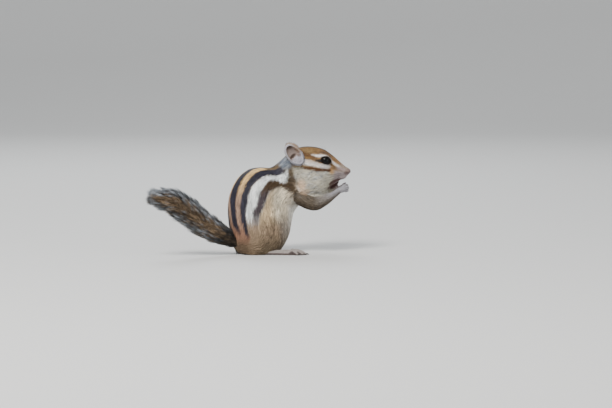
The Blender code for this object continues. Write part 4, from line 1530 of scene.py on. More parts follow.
    def tufts(self, surface: Surface, roots: Roots, rng: np.random.Generator) -> Strands:
        """Tufts that lie along the skin and reach out to the coat's surface.

        Args:
            surface: The skin.
            roots: The tufts' roots.
            rng: Source of the random draws.

        Returns:
            The tufts.
        """
        count = len(roots.points)
        normal = roots.normals
        flow = unit(roots.mixed(self.flow))
        side = np.cross(flow, normal)
        flow = unit(flow + side * rng.normal(0, 0.16, count)[:, None])
        length = roots.mixed(self.length) * rng.uniform(0.72, 1.12, count)
        depth = np.maximum(roots.mixed(self.depth), 0.08)
        reach = np.sqrt(np.maximum(length**2 - depth**2, (0.5 * length) ** 2))
        reach = reach * self.stop_at_eyes(roots.points + normal * (depth + self.growth)[:, None], flow, reach)
        ends, _ = surface.nearest(roots.points + flow * reach[:, None])
        onwards = flow * (reach * rng.normal(self.shown, 0.16, count))[:, None]
        _, seen = surface.nearest(roots.points + (onwards + side * rng.normal(0, 0.2, count)[:, None]))
        chord = ends - roots.points
        away = unit(chord)
        lift = unit(normal + 0.35 * flow)
        height = depth * rng.uniform(0.72, 1.04, count)
        tips = ends + lift * height[:, None]
        arch = height * 0.72 + np.linalg.norm(chord, axis=1) * 0.03
        mids = roots.points + chord * 0.5 + lift * arch[:, None]
        tips[:, 2] = np.maximum(tips[:, 2], rng.uniform(0.05, 0.5, count))
        mids[:, 2] = np.maximum(mids[:, 2], 0.1)
        starts = roots.points - lift * 0.12
        sides = unit(np.cross(away, normal))
        width = roots.mixed(self.width) * rng.uniform(0.75, 1.25, count)
        colour = self.tint[surface.triangles[seen]].mean(axis=1) * rng.normal(1.0, 0.18, count)[:, None]
        dark = rng.random(count) / np.maximum(roots.mixed(self.grizzle), 0.001)
        colour = colour * np.where(dark < 1, 0.4, np.where(dark < 1.7, 1.3, 1.0))[:, None]
        colour = colour * np.where(rng.random(count) < 0.07, 0.7, 1.0)[:, None]
        centres = np.stack((starts, mids), axis=1)
        widths = np.column_stack((width, width * 0.85))
        return Strands(centres, tips, sides, normal, widths, shaded(colour, self.tones), roots.uvs)

    @staticmethod
    def stop_at_eyes(points: Array, flow: Array, reach: Array) -> Array:
        """The share of each tuft's reach that keeps it off the eyes.

        Args:
            points: On the coat, over the roots.
            flow: Way of each tuft.
            reach: Its length along the skin.

        Returns:
            One share for each tuft.
        """
        share = np.ones(len(points))
        for eye in EYES:
            for t in np.linspace(1.0, 0.1, 10):
                edge = eye.edge(points + flow * (reach * t)[:, None])
                share = np.where(edge < 0.95, np.minimum(share, max(t - 0.1, 0.3)), share)
        return share


@dataclass
class Nose:
    """The bare pad of the nose with its nostrils."""

    workshop: Workshop
    centre: tuple = (60, 0, 58.2)
    radii: tuple = (1.8, 2.15, 1.7)
    nostril: tuple = (61.3, 1.3, 58.4)
    nostril_radii: tuple = (1.3, 0.42, 0.6)
    nostril_turn: float = math.radians(40)
    groove: tuple = (61.9, 0, 57.1)
    groove_radii: tuple = (0.9, 0.22, 1.7)
    bare_centre: tuple = (61.4, 0, 58.2)

    @classmethod
    def bare(cls, points: Array) -> Array:
        """0 on the pad, 1 off it."""
        off = (points - np.array(side_of(1, cls.bare_centre))) / np.array(cls.radii)
        return ramp(np.linalg.norm(off, axis=1), 0.8, 1.0)

    def __post_init__(self) -> None:
        """Makes the pad."""
        pad = [ball("pad", side_of(1, self.centre), self.radii)]
        for sign in SIDES.values():
            wing = side_of(sign, (60.2, 1.15, 58.45))
            pad.append(ball("wing", wing, (1.45, 1.05, 1.1), Matrix.Rotation(sign * 0.5, 4, "Z")))
        nose = blended(joined("nose_pad", pad), 0.16, 4)
        cuts = []
        for sign in SIDES.values():
            turn = Matrix.Rotation(sign * self.nostril_turn, 4, "Z")
            cuts.append((side_of(sign, self.nostril), self.nostril_radii, turn, 20))
        for cut in (*cuts, (side_of(1, self.groove), self.groove_radii, None, 16)):
            cutter = ball("cut", *cut)
            boolean = nose.modifiers.new("Cut", "BOOLEAN")
            boolean.object = cutter
            boolean.solver = "EXACT"
            settled(nose)
            bpy.data.objects.remove(cutter)
        finish = Finish("nose_skin", Hue.NOSE_SKIN, 0.38, 0.00022, 0.5, 0.22, 0.5, 0.12)
        placed(nose, self.workshop.make(finish), "ear_skin")


@dataclass
class Mouth:
    """The inside of the mouth between the lips, near black as painted shadow; it also stands for the shadowed
    space between the cheek and the forearm.
    """

    workshop: Workshop
    line: tuple = ((58, 52.6), (54.2, 50.5), (51, 48.5), (48.2, 46.6))
    half_heights: tuple = (0.9, 1.1, 1, 0.5)

    @classmethod
    def bare(cls, points: Array) -> Array:
        """0 between the lips, 1 away from them.

        Args:
            points: In millimetres.

        Returns:
            One number per point.
        """
        rows = smooth_rows([(*p, h) for p, h in zip(cls.line, cls.half_heights)], 30)
        i, distance = nearest_rows(points[:, (0, 2)], rows[:, :2])
        near = 1 - ramp(distance - rows[i, 2], -0.2, 0.5)
        return 1 - near * (1 - ramp(np.abs(points[:, 1] - HEAD_Y), 5.5, 7.0))

    def __post_init__(self) -> None:
        """Makes the inside."""
        turn = Matrix.Rotation(math.radians(-34), 4, "Y")
        inside = ball("mouth_inside", side_of(1, (49.3, 0.0, 48.5)), (4.7, 3.9, 1.6), turn)
        # Near black: painted shadow rather than the mouth's own colour.
        finish = Finish("mouth_skin_and_shadow", Hue.MOUTH_SKIN, 0.6, 0.0004, 0.5, 0.3, 0.25)
        placed(inside, self.workshop.make(finish), "ear_skin")


@dataclass
class Eye:
    """A glossy dark eye with its lids."""

    name: str
    workshop: Workshop
    # The colours round the pupil: how far from its middle, as a share of PUPIL_REACH, and the colour there.
    rings: tuple = (
        (0, (0.002, 0.002, 0.002)), (0.45, (0.002, 0.002, 0.002)), (0.55, (0.009, 0.005, 0.003)),
        (0.8, (0.006, 0.004, 0.003)), (1, (0.003, 0.002, 0.002)),
    )
    pupil_reach: float = 4.5
    lid_steps: int = 48
    # The lids' profile: how far out of the opening's edge, and how high over the eyeball.
    lid_profile: tuple = ((-0.1, -0.3), (-0.1, 0.1), (0.06, 0.26), (0.26, 0.24), (0.44, 0),
                          (0.5, -0.7), (0.1, -0.8))

    def __post_init__(self) -> None:
        """Makes one eye."""
        self.shape = shape = EyeShape(SIDES[self.name])
        turn = shape.matrix().to_3x3().to_4x4()
        globe = ball(f"eye_{self.name}_globe", shape.centre, [shape.radius] * 3, turn, 48)
        placed(globe, self.iris(), "eye", f"eye_{self.name}")
        lids = object_from(f"eyelids_{self.name}", self.lids())
        finish = Finish("lid_skin", Hue.LID_SKIN, 0.4, 0.0003, 0.3, 0.2, 0.5)
        placed(lids, self.workshop.make(finish), "ear_skin")

    def iris(self) -> bpy.types.Material:
        """Nearly black brown, a little lighter round the pupil, under a clear cornea.

        Returns:
            The material.
        """
        shape = self.shape
        made, tree, shader = new_material("eye_globe")
        pupil = Vector(shape.centre) + shape.matrix().to_3x3().col[2] * shape.radius
        where = add_node(tree, "TexCoord", {})["Object"]
        off = add_node(tree, "VectorMath", {0: where, 1: pupil * MM + ORIGIN}, operation="DISTANCE")["Value"]
        scaled = add_node(tree, "MapRange", {"Value": off, "From Max": self.pupil_reach * MM})["Result"]
        ring = tree.nodes.new("ShaderNodeValToRGB")
        stops = ring.color_ramp.elements
        for stop, (position, colour) in zip(stops, (self.rings[0], self.rings[-1])):
            stop.position = position
            stop.color = (*colour, 1)
        for position, colour in self.rings[1:-1]:
            stops.new(position).color = (*colour, 1)
        set_inputs(tree, ring, {"Fac": scaled})
        set_inputs(tree, shader, {
            "Roughness": 0.3, "Specular IOR Level": 0.05, "Coat Weight": 0.28, "Coat Roughness": 0.05,
            "Coat IOR": 1.36, "Base Color": ring.outputs["Color"],
        })
        return made

    def lids(self) -> Shape:
        """A thick rim round the opening, drawn out at the eye's corners and sunk into the skin outside.

        Returns:
            The rim.
        """
        bm = bmesh.new()
        shape = self.shape
        place = shape.matrix()
        up = shape.upright
        loops = []
        for off, height in self.lid_profile:
            loop = []
            for step in range(self.lid_steps):
                angle = math.tau * step / self.lid_steps
                c, s = math.cos(angle), math.sin(angle)
                corner = abs(c) ** 10 * (0.9 if c < 0 else 0.5)
                drawn_out = corner * (0.35 + 0.65 * min(1.0, max(0.0, off + 0.3)))
                x = c * (shape.half_length + off * 0.9 + drawn_out)
                y = s * (shape.half_height + off * 0.9) * up
                rest = max(shape.radius**2 - x * x - y * y, 0.0)
                z = max(math.sqrt(rest), 1.1) + height
                loop.append(bm.verts.new(place @ Vector((x, y, z))))
            loops.append(loop)
        walls(bm, [*loops, loops[0]])
        return bm


@dataclass
class Ear:
    """A thin cupped ear with a fold at its foot, and its short hair."""

    name: str
    workshop: Workshop
    centre: tuple = (21, 13.1, 71)
    half_sizes: tuple = (5.2, 8.6, 4.4)  # across, up and deep
    ups: tuple = ((-0.67, -0.12, 0.73), (-0.64, 0.2, 0.74))  # right and left
    faces: tuple = (0.50, 0.86, 0.06)
    rim: float = 0.27
    wall: float = 0.75
    fold: tuple = (0.6, -4.7, -1.7)
    fold_radii: tuple = (4.3, 4.1, 2.7)
    bowl: float = 0.93  # the bowl's share of the half sizes
    tuft_count: int = 3600

    def __post_init__(self) -> None:
        """Makes one ear."""
        self.sign = SIDES[self.name]
        up = Vector(self.ups[self.sign > 0]).normalized()
        out = Vector((self.faces[0], self.sign * self.faces[1], self.faces[2]))
        out = (out - up * out.dot(up)).normalized()
        self.turn = Matrix((up.cross(out), up, out)).transposed().to_4x4()
        self.place = Matrix.Translation(side_of(self.sign, self.centre)) @ self.turn
        shell = self.shell()
        surface = Surface(shell)
        finish = Finish("ear_skin", None, 0.55, 0.0004, 0.4, 0.18, 0.35)
        placed(shell, self.workshop.make(finish), "ear_skin", f"ear_{self.name}")
        self.hair(surface)

    def shell(self) -> Piece:
        """The ear's skin.

        Returns:
            The skin, unwrapped and tinted.
        """
        bm = bmesh.new()
        bmesh.ops.create_uvsphere(bm, u_segments=40, v_segments=36, radius=1.0)
        bmesh.ops.delete(bm, geom=[v for v in bm.verts if v.co.z > self.rim], context="VERTS")
        bmesh.ops.transform(bm, matrix=self.place @ Matrix.Diagonal((*self.half_sizes, 1.0)), verts=bm.verts)
        bmesh.ops.recalc_face_normals(bm, faces=bm.faces)
        bowl = object_from("bowl", bm)
        wall = bowl.modifiers.new("Wall", "SOLIDIFY")
        wall.thickness = self.wall * MM
        wall.offset = -1.0
        settled(bowl)
        forwards, upwards, outwards = self.fold
        middle = self.place @ Vector((-self.sign * forwards, upwards, outwards))
        fold = ball("fold", middle, self.fold_radii, self.turn)
        ear = blended(joined(f"ear_{self.name}_skin", [bowl, fold]), 0.29, 3)
        unwrap(ear)
        tinted(ear, self.tint(points_of(ear)) * 0.9)
        return ear

    def local(self, points: Array) -> Array:
        """Points in the ear's frame, as shares of its half sizes; X runs forwards."""
        found = (points - np.array(side_of(self.sign, self.centre))) @ np.array(self.turn.to_3x3())
        return found / np.array(self.half_sizes) * np.array((-self.sign, 1, 1))

    def tint(self, points: Array) -> Array:
        """Brown and pink inside, pale at the rim and the foot, brown behind, with painted shade in the crease
        above the fold.

        Args:
            points: In millimetres.

        Returns:
            One colour per point.
        """
        x, y, z = self.local(points).T
        edge = np.hypot(x, y)
        inside = self.inside(points)
        deep = inside * ramp(edge, 0.45, 0.8) * ramp(y - 0.6 * x, -0.1, 0.5)
        # Painted shade in the crease between the fold and the bowl.
        crease_shade = inside * (1 - ramp(np.hypot((x + 0.05) / 0.62, (y + 0.04) / 0.14), 0.6, 1.2))
        rim = ramp(edge, 0.88, 0.97) * ramp(z, -0.2, 0.12)
        spot = 1 - ramp(np.hypot((x - 0.5) / 0.34, (y + 0.34) / 0.2), 0.5, 1.2)
        return layered(
            Hue.EAR_BACK, x,
            (Hue.EAR_INSIDE, inside * 1.0),
            (Hue.EAR_DEEP, deep * 0.95),
            (Hue.EAR_DEEP, crease_shade * 0.9),
            (Hue.EAR_RIM, np.maximum(rim, self.lobe(y) * 0.9)),
            (Hue.EAR_STRIPE, spot * 0.75),
            (Hue.CROWN_FRONT, ramp(x, 0.62, 0.9) * ramp(y, -0.5, 0.1) * 0.6),
        )

    def inside(self, points: Array) -> Array:
        """True in the ear's bowl."""
        return np.linalg.norm(self.local(points), axis=1) < self.bowl

    @staticmethod
    def lobe(y: Array) -> Array:
        """1 on the furry foot of the ear."""
        return 1 - ramp(y, -0.34, -0.14)

    def hair(self, surface: Surface) -> None:
        """Short hair that lies up and outwards over the ear.

        Args:
            surface: The ear's skin.
        """
        rng = np.random.default_rng(40 + self.sign)
        x, y, z = self.local(surface.points).T
        rim = ramp(np.hypot(x, y), 0.86, 0.96) * ramp(z, -0.2, 0.1)
        foot = self.lobe(y)
        density = np.where(self.inside(surface.points), 0.25, 0.9) + 1.8 * rim + 1.6 * foot
        count = self.tuft_count
        roots = surface.sample(count, density, rng)
        up = np.array(self.turn.to_3x3())[:, 1]
        middle = np.array(side_of(self.sign, self.centre)) - up * 5.0
        way = unit(unit(roots.points - middle) * (1 - 0.75 * roots.mixed(foot))[:, None]
                   + up * (1.2 * roots.mixed(foot))[:, None])
        way = flattened(way, roots.normals)
        side = unit(np.cross(way, roots.normals))
        way = unit(way + side * rng.normal(0, 0.3, count)[:, None])
        length = (0.9 + 0.6 * roots.mixed(foot) + 0.2 * roots.mixed(rim)) * rng.uniform(0.7, 1.2, count)
        lift = 0.28 + 0.25 * roots.mixed(rim)
        tips = roots.points + (way + roots.normals * lift[:, None]) * length[:, None]
        mids = roots.points + (way * 0.5 + roots.normals * (lift * 0.62)[:, None]) * length[:, None]
        starts = roots.points - roots.normals * 0.06
        width = 0.17 * rng.uniform(0.8, 1.2, count)
        colour = self.tint(roots.points) * rng.normal(1.08, 0.14, count)[:, None]
        colour = colour * np.where(rng.random(count) < 0.18, 0.5, 1.0)[:, None]
        strands = Strands(np.stack((starts, mids), axis=1), tips, side, roots.normals,
                          np.column_stack((width, width * 0.8)), shaded(colour, (0.75, 1.0, 1.15)), roots.uvs)
        fur = self.workshop.make(Finish("ear_hair", None, 0.6, 0.0003, 0.0, 0.1, 0.22, sheen=0.06))
        placed(strands.build(f"ear_{self.name}_hair"), fur, "head_fur")


@dataclass
class Brush:
    """The tail: a core of flesh and the long banded hair round it."""

    workshop: Workshop
    path: tuple = (
        (-10, -6.5, 9), (-17.5, -10.5, 9), (-24.1, -13.4, 10.9), (-31.5, -16.8, 15.2), (-39.3, -20.2, 20),
        (-48.4, -24.2, 26.8), (-57.1, -28, 33.8), (-65.8, -31.6, 40.1), (-74, -34.9, 42.3),
    )
    radii: tuple = (4.4, 4, 3.5, 3.1, 2.7, 2.4, 2.1, 1.7, 0.8)
    tip_hair: float = 13.0
    flatness: float = 0.72
    shares: tuple = (0, 0.17, 0.24, 0.34, 0.46, 0.58, 0.7, 0.82, 0.9, 0.96, 1)
    half_heights: tuple = (4.4, 6, 7, 9, 10.6, 11.5, 11.4, 10, 8.4, 6.2, 2.4)
    hairs: int = 15500
    hairs_in_a_piece: int = 8000
    clumps: int = 800
    stations: tuple = (0, 0.4, 0.7, 1)  # places of the rings and the tip along a hair
    seed: int = 7

    def __post_init__(self) -> None:
        """Makes the tail."""
        self.line = smooth_rows(self.path, 160)
        self.along = unit(np.gradient(self.line, axis=0))
        steps = np.linalg.norm(np.diff(self.line, axis=0), axis=1)
        self.places = np.concatenate(([0.0], np.cumsum(steps)))
        self.length = float(self.places[-1])
        core = limb("tail_core", self.path, self.radii, 60, sides=28)
        unwrap(core)
        points = points_of(core)
        dark = ramp(noise(points, 2.5, 4), -0.4, 0.5) * 0.7
        shade = layered(Hue.TAIL_OCHRE, points, (Hue.TAIL_DARK, dark))
        tinted(core, shade * 0.8)
        surface = Surface(core)
        finish = Finish("tail_skin", None, 0.75, 0.0005, 0.6, 0.25, 0.2)
        placed(core, self.workshop.make(finish), "tail_fur", "tail")
        self.hair(surface)

    def frame_at(self, place: Array) -> tuple[Array, Array, Array, Array]:
        """Frames along the bone; past its end the line runs straight on.

        Args:
            place: Places in millimetres.

        Returns:
            Middle, direction, up and side at each place.
        """
        inside = np.clip(place, 0.0, self.length)
        middle = np.column_stack([np.interp(inside, self.places, self.line[:, k]) for k in range(3)])
        along = unit(np.column_stack([np.interp(inside, self.places, self.along[:, k]) for k in range(3)]))
        middle = middle + along * (place - inside)[:, None]
        up = unit(np.array((0, 0, 1.0)) - along * along[:, 2:3])
        return middle, along, up, np.cross(along, up)

    def reach(self, place: Array, angle: Array) -> Array:
        """How far the hair's tips lie from the bone.

        Args:
            place: Place along the bone.
            angle: Angle round it, 0 for up.

        Returns:
            Millimetres for each hair.
        """
        half_height = np.interp(place / (self.length + self.tip_hair), self.shares, self.half_heights)
        half_depth = half_height * self.flatness
        return half_height * half_depth / np.hypot(half_depth * np.cos(angle), half_height * np.sin(angle))

    def hair(self, surface: Surface) -> None:
        """Hairs that leave the bone, bend back along the tail and end in pale tips.

        Args:
            surface: The core's skin.
        """
        rng = np.random.default_rng(self.seed)
        count = self.hairs
        i, _ = nearest_rows(surface.points, self.line)
        density = ramp(self.places[i], 8.0, 14.0) * (1 + 3.0 * ramp(self.places[i] / self.length, 0.82, 1.0))
        roots = surface.sample(count, density, rng)
        i, _ = nearest_rows(roots.points, self.line)
        place = self.places[i]
        middle, _, up, side = self.frame_at(place)
        off = roots.points - middle
        angle = np.arctan2((off * side).sum(axis=1), (off * up).sum(axis=1)) + rng.normal(0, 0.12, count)
        root_radius = np.linalg.norm(off, axis=1) * 0.9
        broad = np.abs(np.cos(angle))
        length = (11.0 + 7.0 * broad) * rng.uniform(0.7, 1.12, count) * (0.62 + 0.38 * ramp(place, 8, 30))
        tip_place = np.minimum(place + length * rng.uniform(0.7, 0.92, count),
                               self.length + self.tip_hair * rng.uniform(0.7, 1.0, count))
        share = rng.uniform(0.6, 1.04, count) ** 0.7
        tipward = ramp(place, self.length - 12, self.length - 1)
        share = share + (np.sqrt(rng.random(count)) - share) * tipward
        beyond = self.tip_hair * (1 - 0.4 * share**2) * rng.uniform(0.75, 1.0, count)
        tip_place = tip_place + (np.minimum(tip_place, self.length + beyond) - tip_place) * tipward
        leads = rng.choice(count, self.clumps, replace=False)
        key = np.column_stack((place * 0.9, 5 * np.cos(angle), 5 * np.sin(angle)))
        j, _ = nearest_rows(key, key[leads])
        lead = leads[j]
        pull = rng.uniform(0.4, 0.85, count)
        tip_place = tip_place + (tip_place[lead] - tip_place) * pull
        share = share + (share[lead] - share) * pull
        turn = ((angle[lead] - angle + math.pi) % math.tau - math.pi) * pull
        reach = self.reach(tip_place, angle + turn) * share
        reach = np.maximum(reach, np.where(tip_place > self.length, 0.2, root_radius + 0.5))
        bend = rng.uniform(1.4, 2.2, count)
        centres, ways = [], []
        for t in self.stations:
            here, along, up, side = self.frame_at(place + (tip_place - place) * t)
            turned = angle + turn * t**1.5
            radial = up * np.cos(turned)[:, None] + side * np.sin(turned)[:, None]
            out = root_radius + (reach - root_radius) * (1 - (1 - t) ** bend)
            centres.append(here + radial * out[:, None])
            ways.append(radial)
        tips = centres.pop() + rng.normal(0, 0.9, (count, 3)) * tipward[:, None]
        way = unit(tips - centres[0])
        sides = unit(np.cross(way, ways[2]))
        ups = unit(np.cross(sides, way))
        width = 0.25 * rng.uniform(0.8, 1.25, count)
        widths = width[:, None] * np.array((1.0, 1.0, 0.7))[None, :]
        tone = (rng.normal(1.0, 0.18, count) * rng.normal(1.0, 0.36, count)[lead]).clip(0.35, 1.8)
        tone = tone * (1 - 0.85 * (1 - ramp(place, 15, 29)))
        standing = broad + 0.2 * np.cos(angle) + rng.normal(0, 0.12, count) + rng.normal(0, 0.2, count)[lead]
        standing = np.maximum(standing, 0.66 * ramp(place, self.length - 7, self.length))
        colours = self.bands(standing, tipward, tone, rng)
        strands = Strands(np.stack(centres, axis=1), tips, sides, ups, widths, colours, roots.uvs)
        fur = self.workshop.make(Finish("tail_hair", None, 0.58, 0.0003, 0.0, 0.1, 0.25, sheen=0.05))
        order = np.argsort(place, kind="stable")
        pieces = max(1, math.ceil(count / self.hairs_in_a_piece))
        for number, chosen in enumerate(np.array_split(order, pieces)):
            placed(strands.part(chosen).build(f"tail_brush_{number + 1}"), fur, "tail_fur")

    def bands(self, standing: Array, tipward: Array, tone: Array, rng: np.random.Generator) -> Array:
        """Ochre at the root, a dark band, then a frosted tip on the hairs that stand out to the edges.

        Args:
            standing: How far a hair stands out to the edges.
            tipward: 1 at the end of the tail.
            tone: How light each hair is.
            rng: Source of the random draws.

        Returns:
            Four colours for each hair, from root to tip.
        """
        count = len(standing)
        ochre, dark, frost = (np.array(hue.value) for hue in (Hue.TAIL_OCHRE, Hue.TAIL_DARK, Hue.TAIL_FROST))
        edge = ramp(standing, 0.5, 0.85)[:, None]
        fleck = (rng.random(count) < 0.5)[:, None]
        end = tipward[:, None]
        # Towards the tail's end the roots are lighter and the second band takes some frost: partly the end's
        # own frosting, partly painted light that lifts the shade deep inside the brush.
        root = ochre * (0.4 + 0.5 * end)
        second = ochre * (1 - edge * 0.85) + dark * edge * 0.85
        second = second * (1 - 0.12 * end) + frost * 0.12 * end
        frosted = dark * (0.78 - 0.25 * end) + frost * (0.22 + 0.25 * end)
        third = np.where(fleck, dark, ochre * 1.1) * (1 - edge) + frosted * edge
        tip = np.where(fleck, ochre * 1.6, dark * 1.5) * (1 - edge) + frost * edge
        return np.clip(np.stack((root, second, third, tip), axis=1) * tone[:, None, None], DARKEST, 1.0)


@dataclass
class Hand:
    """A forepaw with four bent fingers, their claws and very short hair."""

    name: str
    workshop: Workshop
    wrist: tuple = (53.8, 6, 45)
    way: tuple = (0.92, -0.16, 0.36)
    length: float = 4.6
    palm_radii: tuple = (1.75, 2.35, 2.05)
    flatness: float = 0.72
    finger_lengths: tuple = (2.9, 4.1, 4.3, 3.2)
    finger_radius: float = 0.68
    taper: tuple = (1.12, 0.95, 1, 0.74)
    bend: tuple = ((0, 0), (0.45, 0.08), (0.64, 0.4), (0.5, 0.68))
    fan: float = 0.2
    spread: float = 2.2

    def __post_init__(self) -> None:
        """Makes one forepaw."""
        sign = SIDES[self.name]
        wrist = side_of(sign, self.wrist)
        along = Vector((self.way[0], sign * self.way[1], self.way[2])).normalized()
        inward = Vector((0, -sign, 0))
        inward = (inward - along * inward.dot(along)).normalized()
        spread = inward.cross(along) * sign
        palm = [wrist - along * 2.2, wrist + along * 0.5 * self.length, wrist + along * self.length]
        pieces = [limb("palm", palm, self.palm_radii, flat=self.flatness, flat_axis=inward)]
        claws = []
        for number, length in enumerate(self.finger_lengths):
            off = (number - 1.5) / 1.5
            knuckle = wrist + along * (self.length - 0.4 - 0.5 * abs(off)) + spread * off * self.spread
            fan = (along + spread * off * self.fan).normalized()
            points = [knuckle + (fan * forward + inward * bend) * length for forward, bend in self.bend]
            radii = [self.finger_radius * share for share in self.taper]
            pieces.append(limb("finger", points, radii))
            way = (inward * 0.6 - fan * 0.45 - Vector((0, 0, 0.5))).normalized()
            tip = points[-1]
            pieces.append(ball("pad", tip + inward * 0.15 - fan * 0.1, (0.62, 0.62, 0.62), None, 14))
            nail = [tip - way * 0.3, tip + way * 0.55, tip + way * 1.25 - fan * 0.35]
            claws.append(limb("nail", nail, (0.42, 0.36, 0.08), 7, sides=8, dome=2))
        for off in (-0.55, 0.55):
            pad = wrist + along * self.length * 0.62 + inward * 1.15 + spread * off * self.spread
            pieces.append(ball("pad", pad, (1.0, 0.8, 0.95), None, 16))
        hand = blended(joined(f"forepaw_{self.name}_skin", pieces), 0.19, 3)
        unwrap(hand)
        self.finish(hand, claws, Matrix((along, spread, inward)))

    def finish(self, hand: Piece, claws: list[Piece], axes: Matrix) -> None:
        """Gives the hand its materials and hair.

        Args:
            hand: Its skin.
            claws: Its claws.
            axes: Rows along the hand, across the fingers and into the palm.
        """
        points, normals = points_of(hand), normals_of(hand)
        along, spread, inward = (np.array(row) for row in axes)
        off = points - np.array(side_of(SIDES[self.name], self.wrist))
        forwards = off @ along
        shade = layered(Hue.WRIST, points, (Hue.HAND_SKIN, ramp(normals @ inward, -0.1, 0.5)))
        # Painted shade in the grooves between the fingers, near their ends.
        finger_groove_shade = ramp(np.cos(math.tau * (off @ spread) / (self.spread * 2 / 3)), 0.2, 0.95)
        shade = shade * (1 - 0.6 * finger_groove_shade * ramp(forwards, self.length - 1.4, self.length))[:, None]
        tinted(hand, shade * (1 + 0.1 * noise(points, 0.8, 6))[:, None])
        surface = Surface(hand)
        skin = self.workshop.make(Finish("hand_skin", None, 0.55, 0.00025, 0.5, 0.15, 0.35))
        placed(hand, skin, "paw_skin", f"forepaw_{self.name}")
        horn = self.workshop.make(Finish("claw_horn", Hue.CLAW, 0.5, 0.0002, 0.2, 0.25, 0.25))
        placed(joined(f"forepaw_{self.name}_claws", claws), horn, "paw_skin")
        back = ramp(-(normals @ inward), -0.1, 0.4) * (1 - 0.95 * ramp(forwards, 3.0, 5.2))
        short_hair(surface, self.workshop, f"forepaw_{self.name}_hair", 1700, back, along, shade, 0.6, 50)


@dataclass
class Foot:
    """A long hind foot with five toes, their claws and short hair."""

    name: str
    workshop: Workshop
    # The heel's place and the foot's turn, for right and left.
    places: tuple = ((-2.5, -13.6, math.radians(-3)), (-14.0, 5.0, math.radians(50)))
    length: float = 34.0
    half_width: float = 3.1
    toe_lengths: tuple = (4.6, 7.6, 8.6, 7.8, 5)
    sole_heights: tuple = (1.5, 1.4, 1.3, 1.1)
    sole_radii: tuple = (2.2, 2.45, 3, 2.9)
    flatness: float = 0.74
    toe_heights: tuple = (1.3, 3, 2.1, 0.78)
    toe_radius: float = 1.08
    toe_taper: tuple = (1.1, 0.95, 0.9, 0.76)
    toe_fan: float = 0.24
    claw_length: float = 2.6
    claw_curve: tuple = ((-0.3, 0.02), (0.4, -0.03), (0.75, 0.06), (1, 0.2))
    claw_radii: tuple = (0.52, 0.46, 0.32, 0.08)

    def __post_init__(self) -> None:
        """Makes one hind foot."""
        name, workshop = self.name, self.workshop
        sign = SIDES[name]
        x, y, yaw = self.places[sign > 0]
        heel = Vector((x, y, 0))
        up = Vector((0, 0, 1))
        along = Vector((math.cos(yaw), math.sin(yaw), 0))
        across = up.cross(along) * sign
        ball_place = self.length - self.toe_lengths[2] - self.claw_length
        sole = [heel + along * share * ball_place + up * height
                for share, height in zip((0, 0.45, 0.8, 1), self.sole_heights)]
        pieces = [limb("sole", sole, self.sole_radii, 24, sides=20, flat=self.flatness)]
        claws = []
        for number, length in enumerate(self.toe_lengths):
            spread = (number - 2) / 2
            start = heel + along * (ball_place - 1.2 - 1.8 * abs(spread))
            start = start + across * spread * self.half_width * 0.8
            way = (along + across * spread * self.toe_fan).normalized()
            points = [start + way * share * (length + 1.2) + up * height
                      for share, height in zip((0, 0.4, 0.72, 1.0), self.toe_heights)]
            pieces.append(limb("toe", points, [self.toe_radius * share for share in self.toe_taper]))
            root = points[-1] + way * 0.3
            curve = [root + (way * reach - up * drop) * self.claw_length for reach, drop in self.claw_curve]
            claws.append(limb("claw", curve, self.claw_radii, 8, sides=8, dome=2))
        foot = blended(joined(f"hind_foot_{name}_skin", pieces), 0.29, 3)
        points = points_of(foot)
        points[:, 2] = np.maximum(points[:, 2], 0.0)
        move_points(foot, points)
        unwrap(foot)
        normals = normals_of(foot)
        # Dark skin on the sides and sole, darkened as painted shade, and pale hair on top.
        shade = layered(Hue.FOOT_SKIN, points, (Hue.FOOT_HAIR, ramp(normals[:, 2], -0.2, 0.5) * 0.85))
        tinted(foot, shade * (1 + 0.12 * noise(points, 1.0, 9))[:, None])
        surface = Surface(foot)
        skin = workshop.make(Finish("foot_skin", None, 0.55, 0.0003, 0.5, 0.18, 0.35))
        placed(foot, skin, "paw_skin", f"hind_foot_{name}")
        horn = workshop.make(Finish("claw_horn", Hue.CLAW, 0.5, 0.0002, 0.2, 0.25, 0.25))
        placed(joined(f"hind_foot_{name}_claws", claws), horn, "paw_skin")
        hairy = ramp(normals[:, 2], 0.0, 0.5)
        short_hair(surface, workshop, f"hind_foot_{name}_hair", 3300, hairy, np.array(along), shade, 1.1, 60)


def short_hair(surface: Surface, workshop: Workshop, name: str, count: int, density: Array, way: Array,
               tint: Array, length: float, seed: int) -> None:
    """Very short hair that lies along a hand or foot.

    Args:
        surface: The skin.
        workshop: Makes the materials.
        name: The piece's name.
        count: How many hairs.
        density: At the surface's points.
        way: The way they lie.
        tint: Colours at the surface's points.
        length: In millimetres.
        seed: Picks the draws.
    """
    rng = np.random.default_rng(seed)
    count = count
    roots = surface.sample(count, density + 1e-6, rng)
    flow = way - roots.normals * (roots.normals @ way)[:, None]
    flow = unit(flow + rng.normal(0, 0.18, (count, 3)))
    side = unit(np.cross(flow, roots.normals))
    size = length * rng.uniform(0.7, 1.2, count)
    tips = roots.points + (flow + roots.normals * 0.12) * size[:, None]
    mids = roots.points + (flow * 0.5 + roots.normals * 0.14) * size[:, None]
    starts = roots.points - roots.normals * 0.05
    width = 0.15 * rng.uniform(0.8, 1.2, count)
    colour = roots.mixed(tint) * rng.normal(1.08, 0.12, count)[:, None]
    strands = Strands(np.stack((starts, mids), axis=1), tips, side, roots.normals,
                      np.column_stack((width, width * 0.8)), shaded(colour, (0.8, 1.0, 1.1)), roots.uvs)
    fur = workshop.make(Finish("limb_hair", None, 0.6, 0.0003, 0.0, 0.1, 0.22, sheen=0.05))
    placed(strands.build(name), fur, "limb_fur")


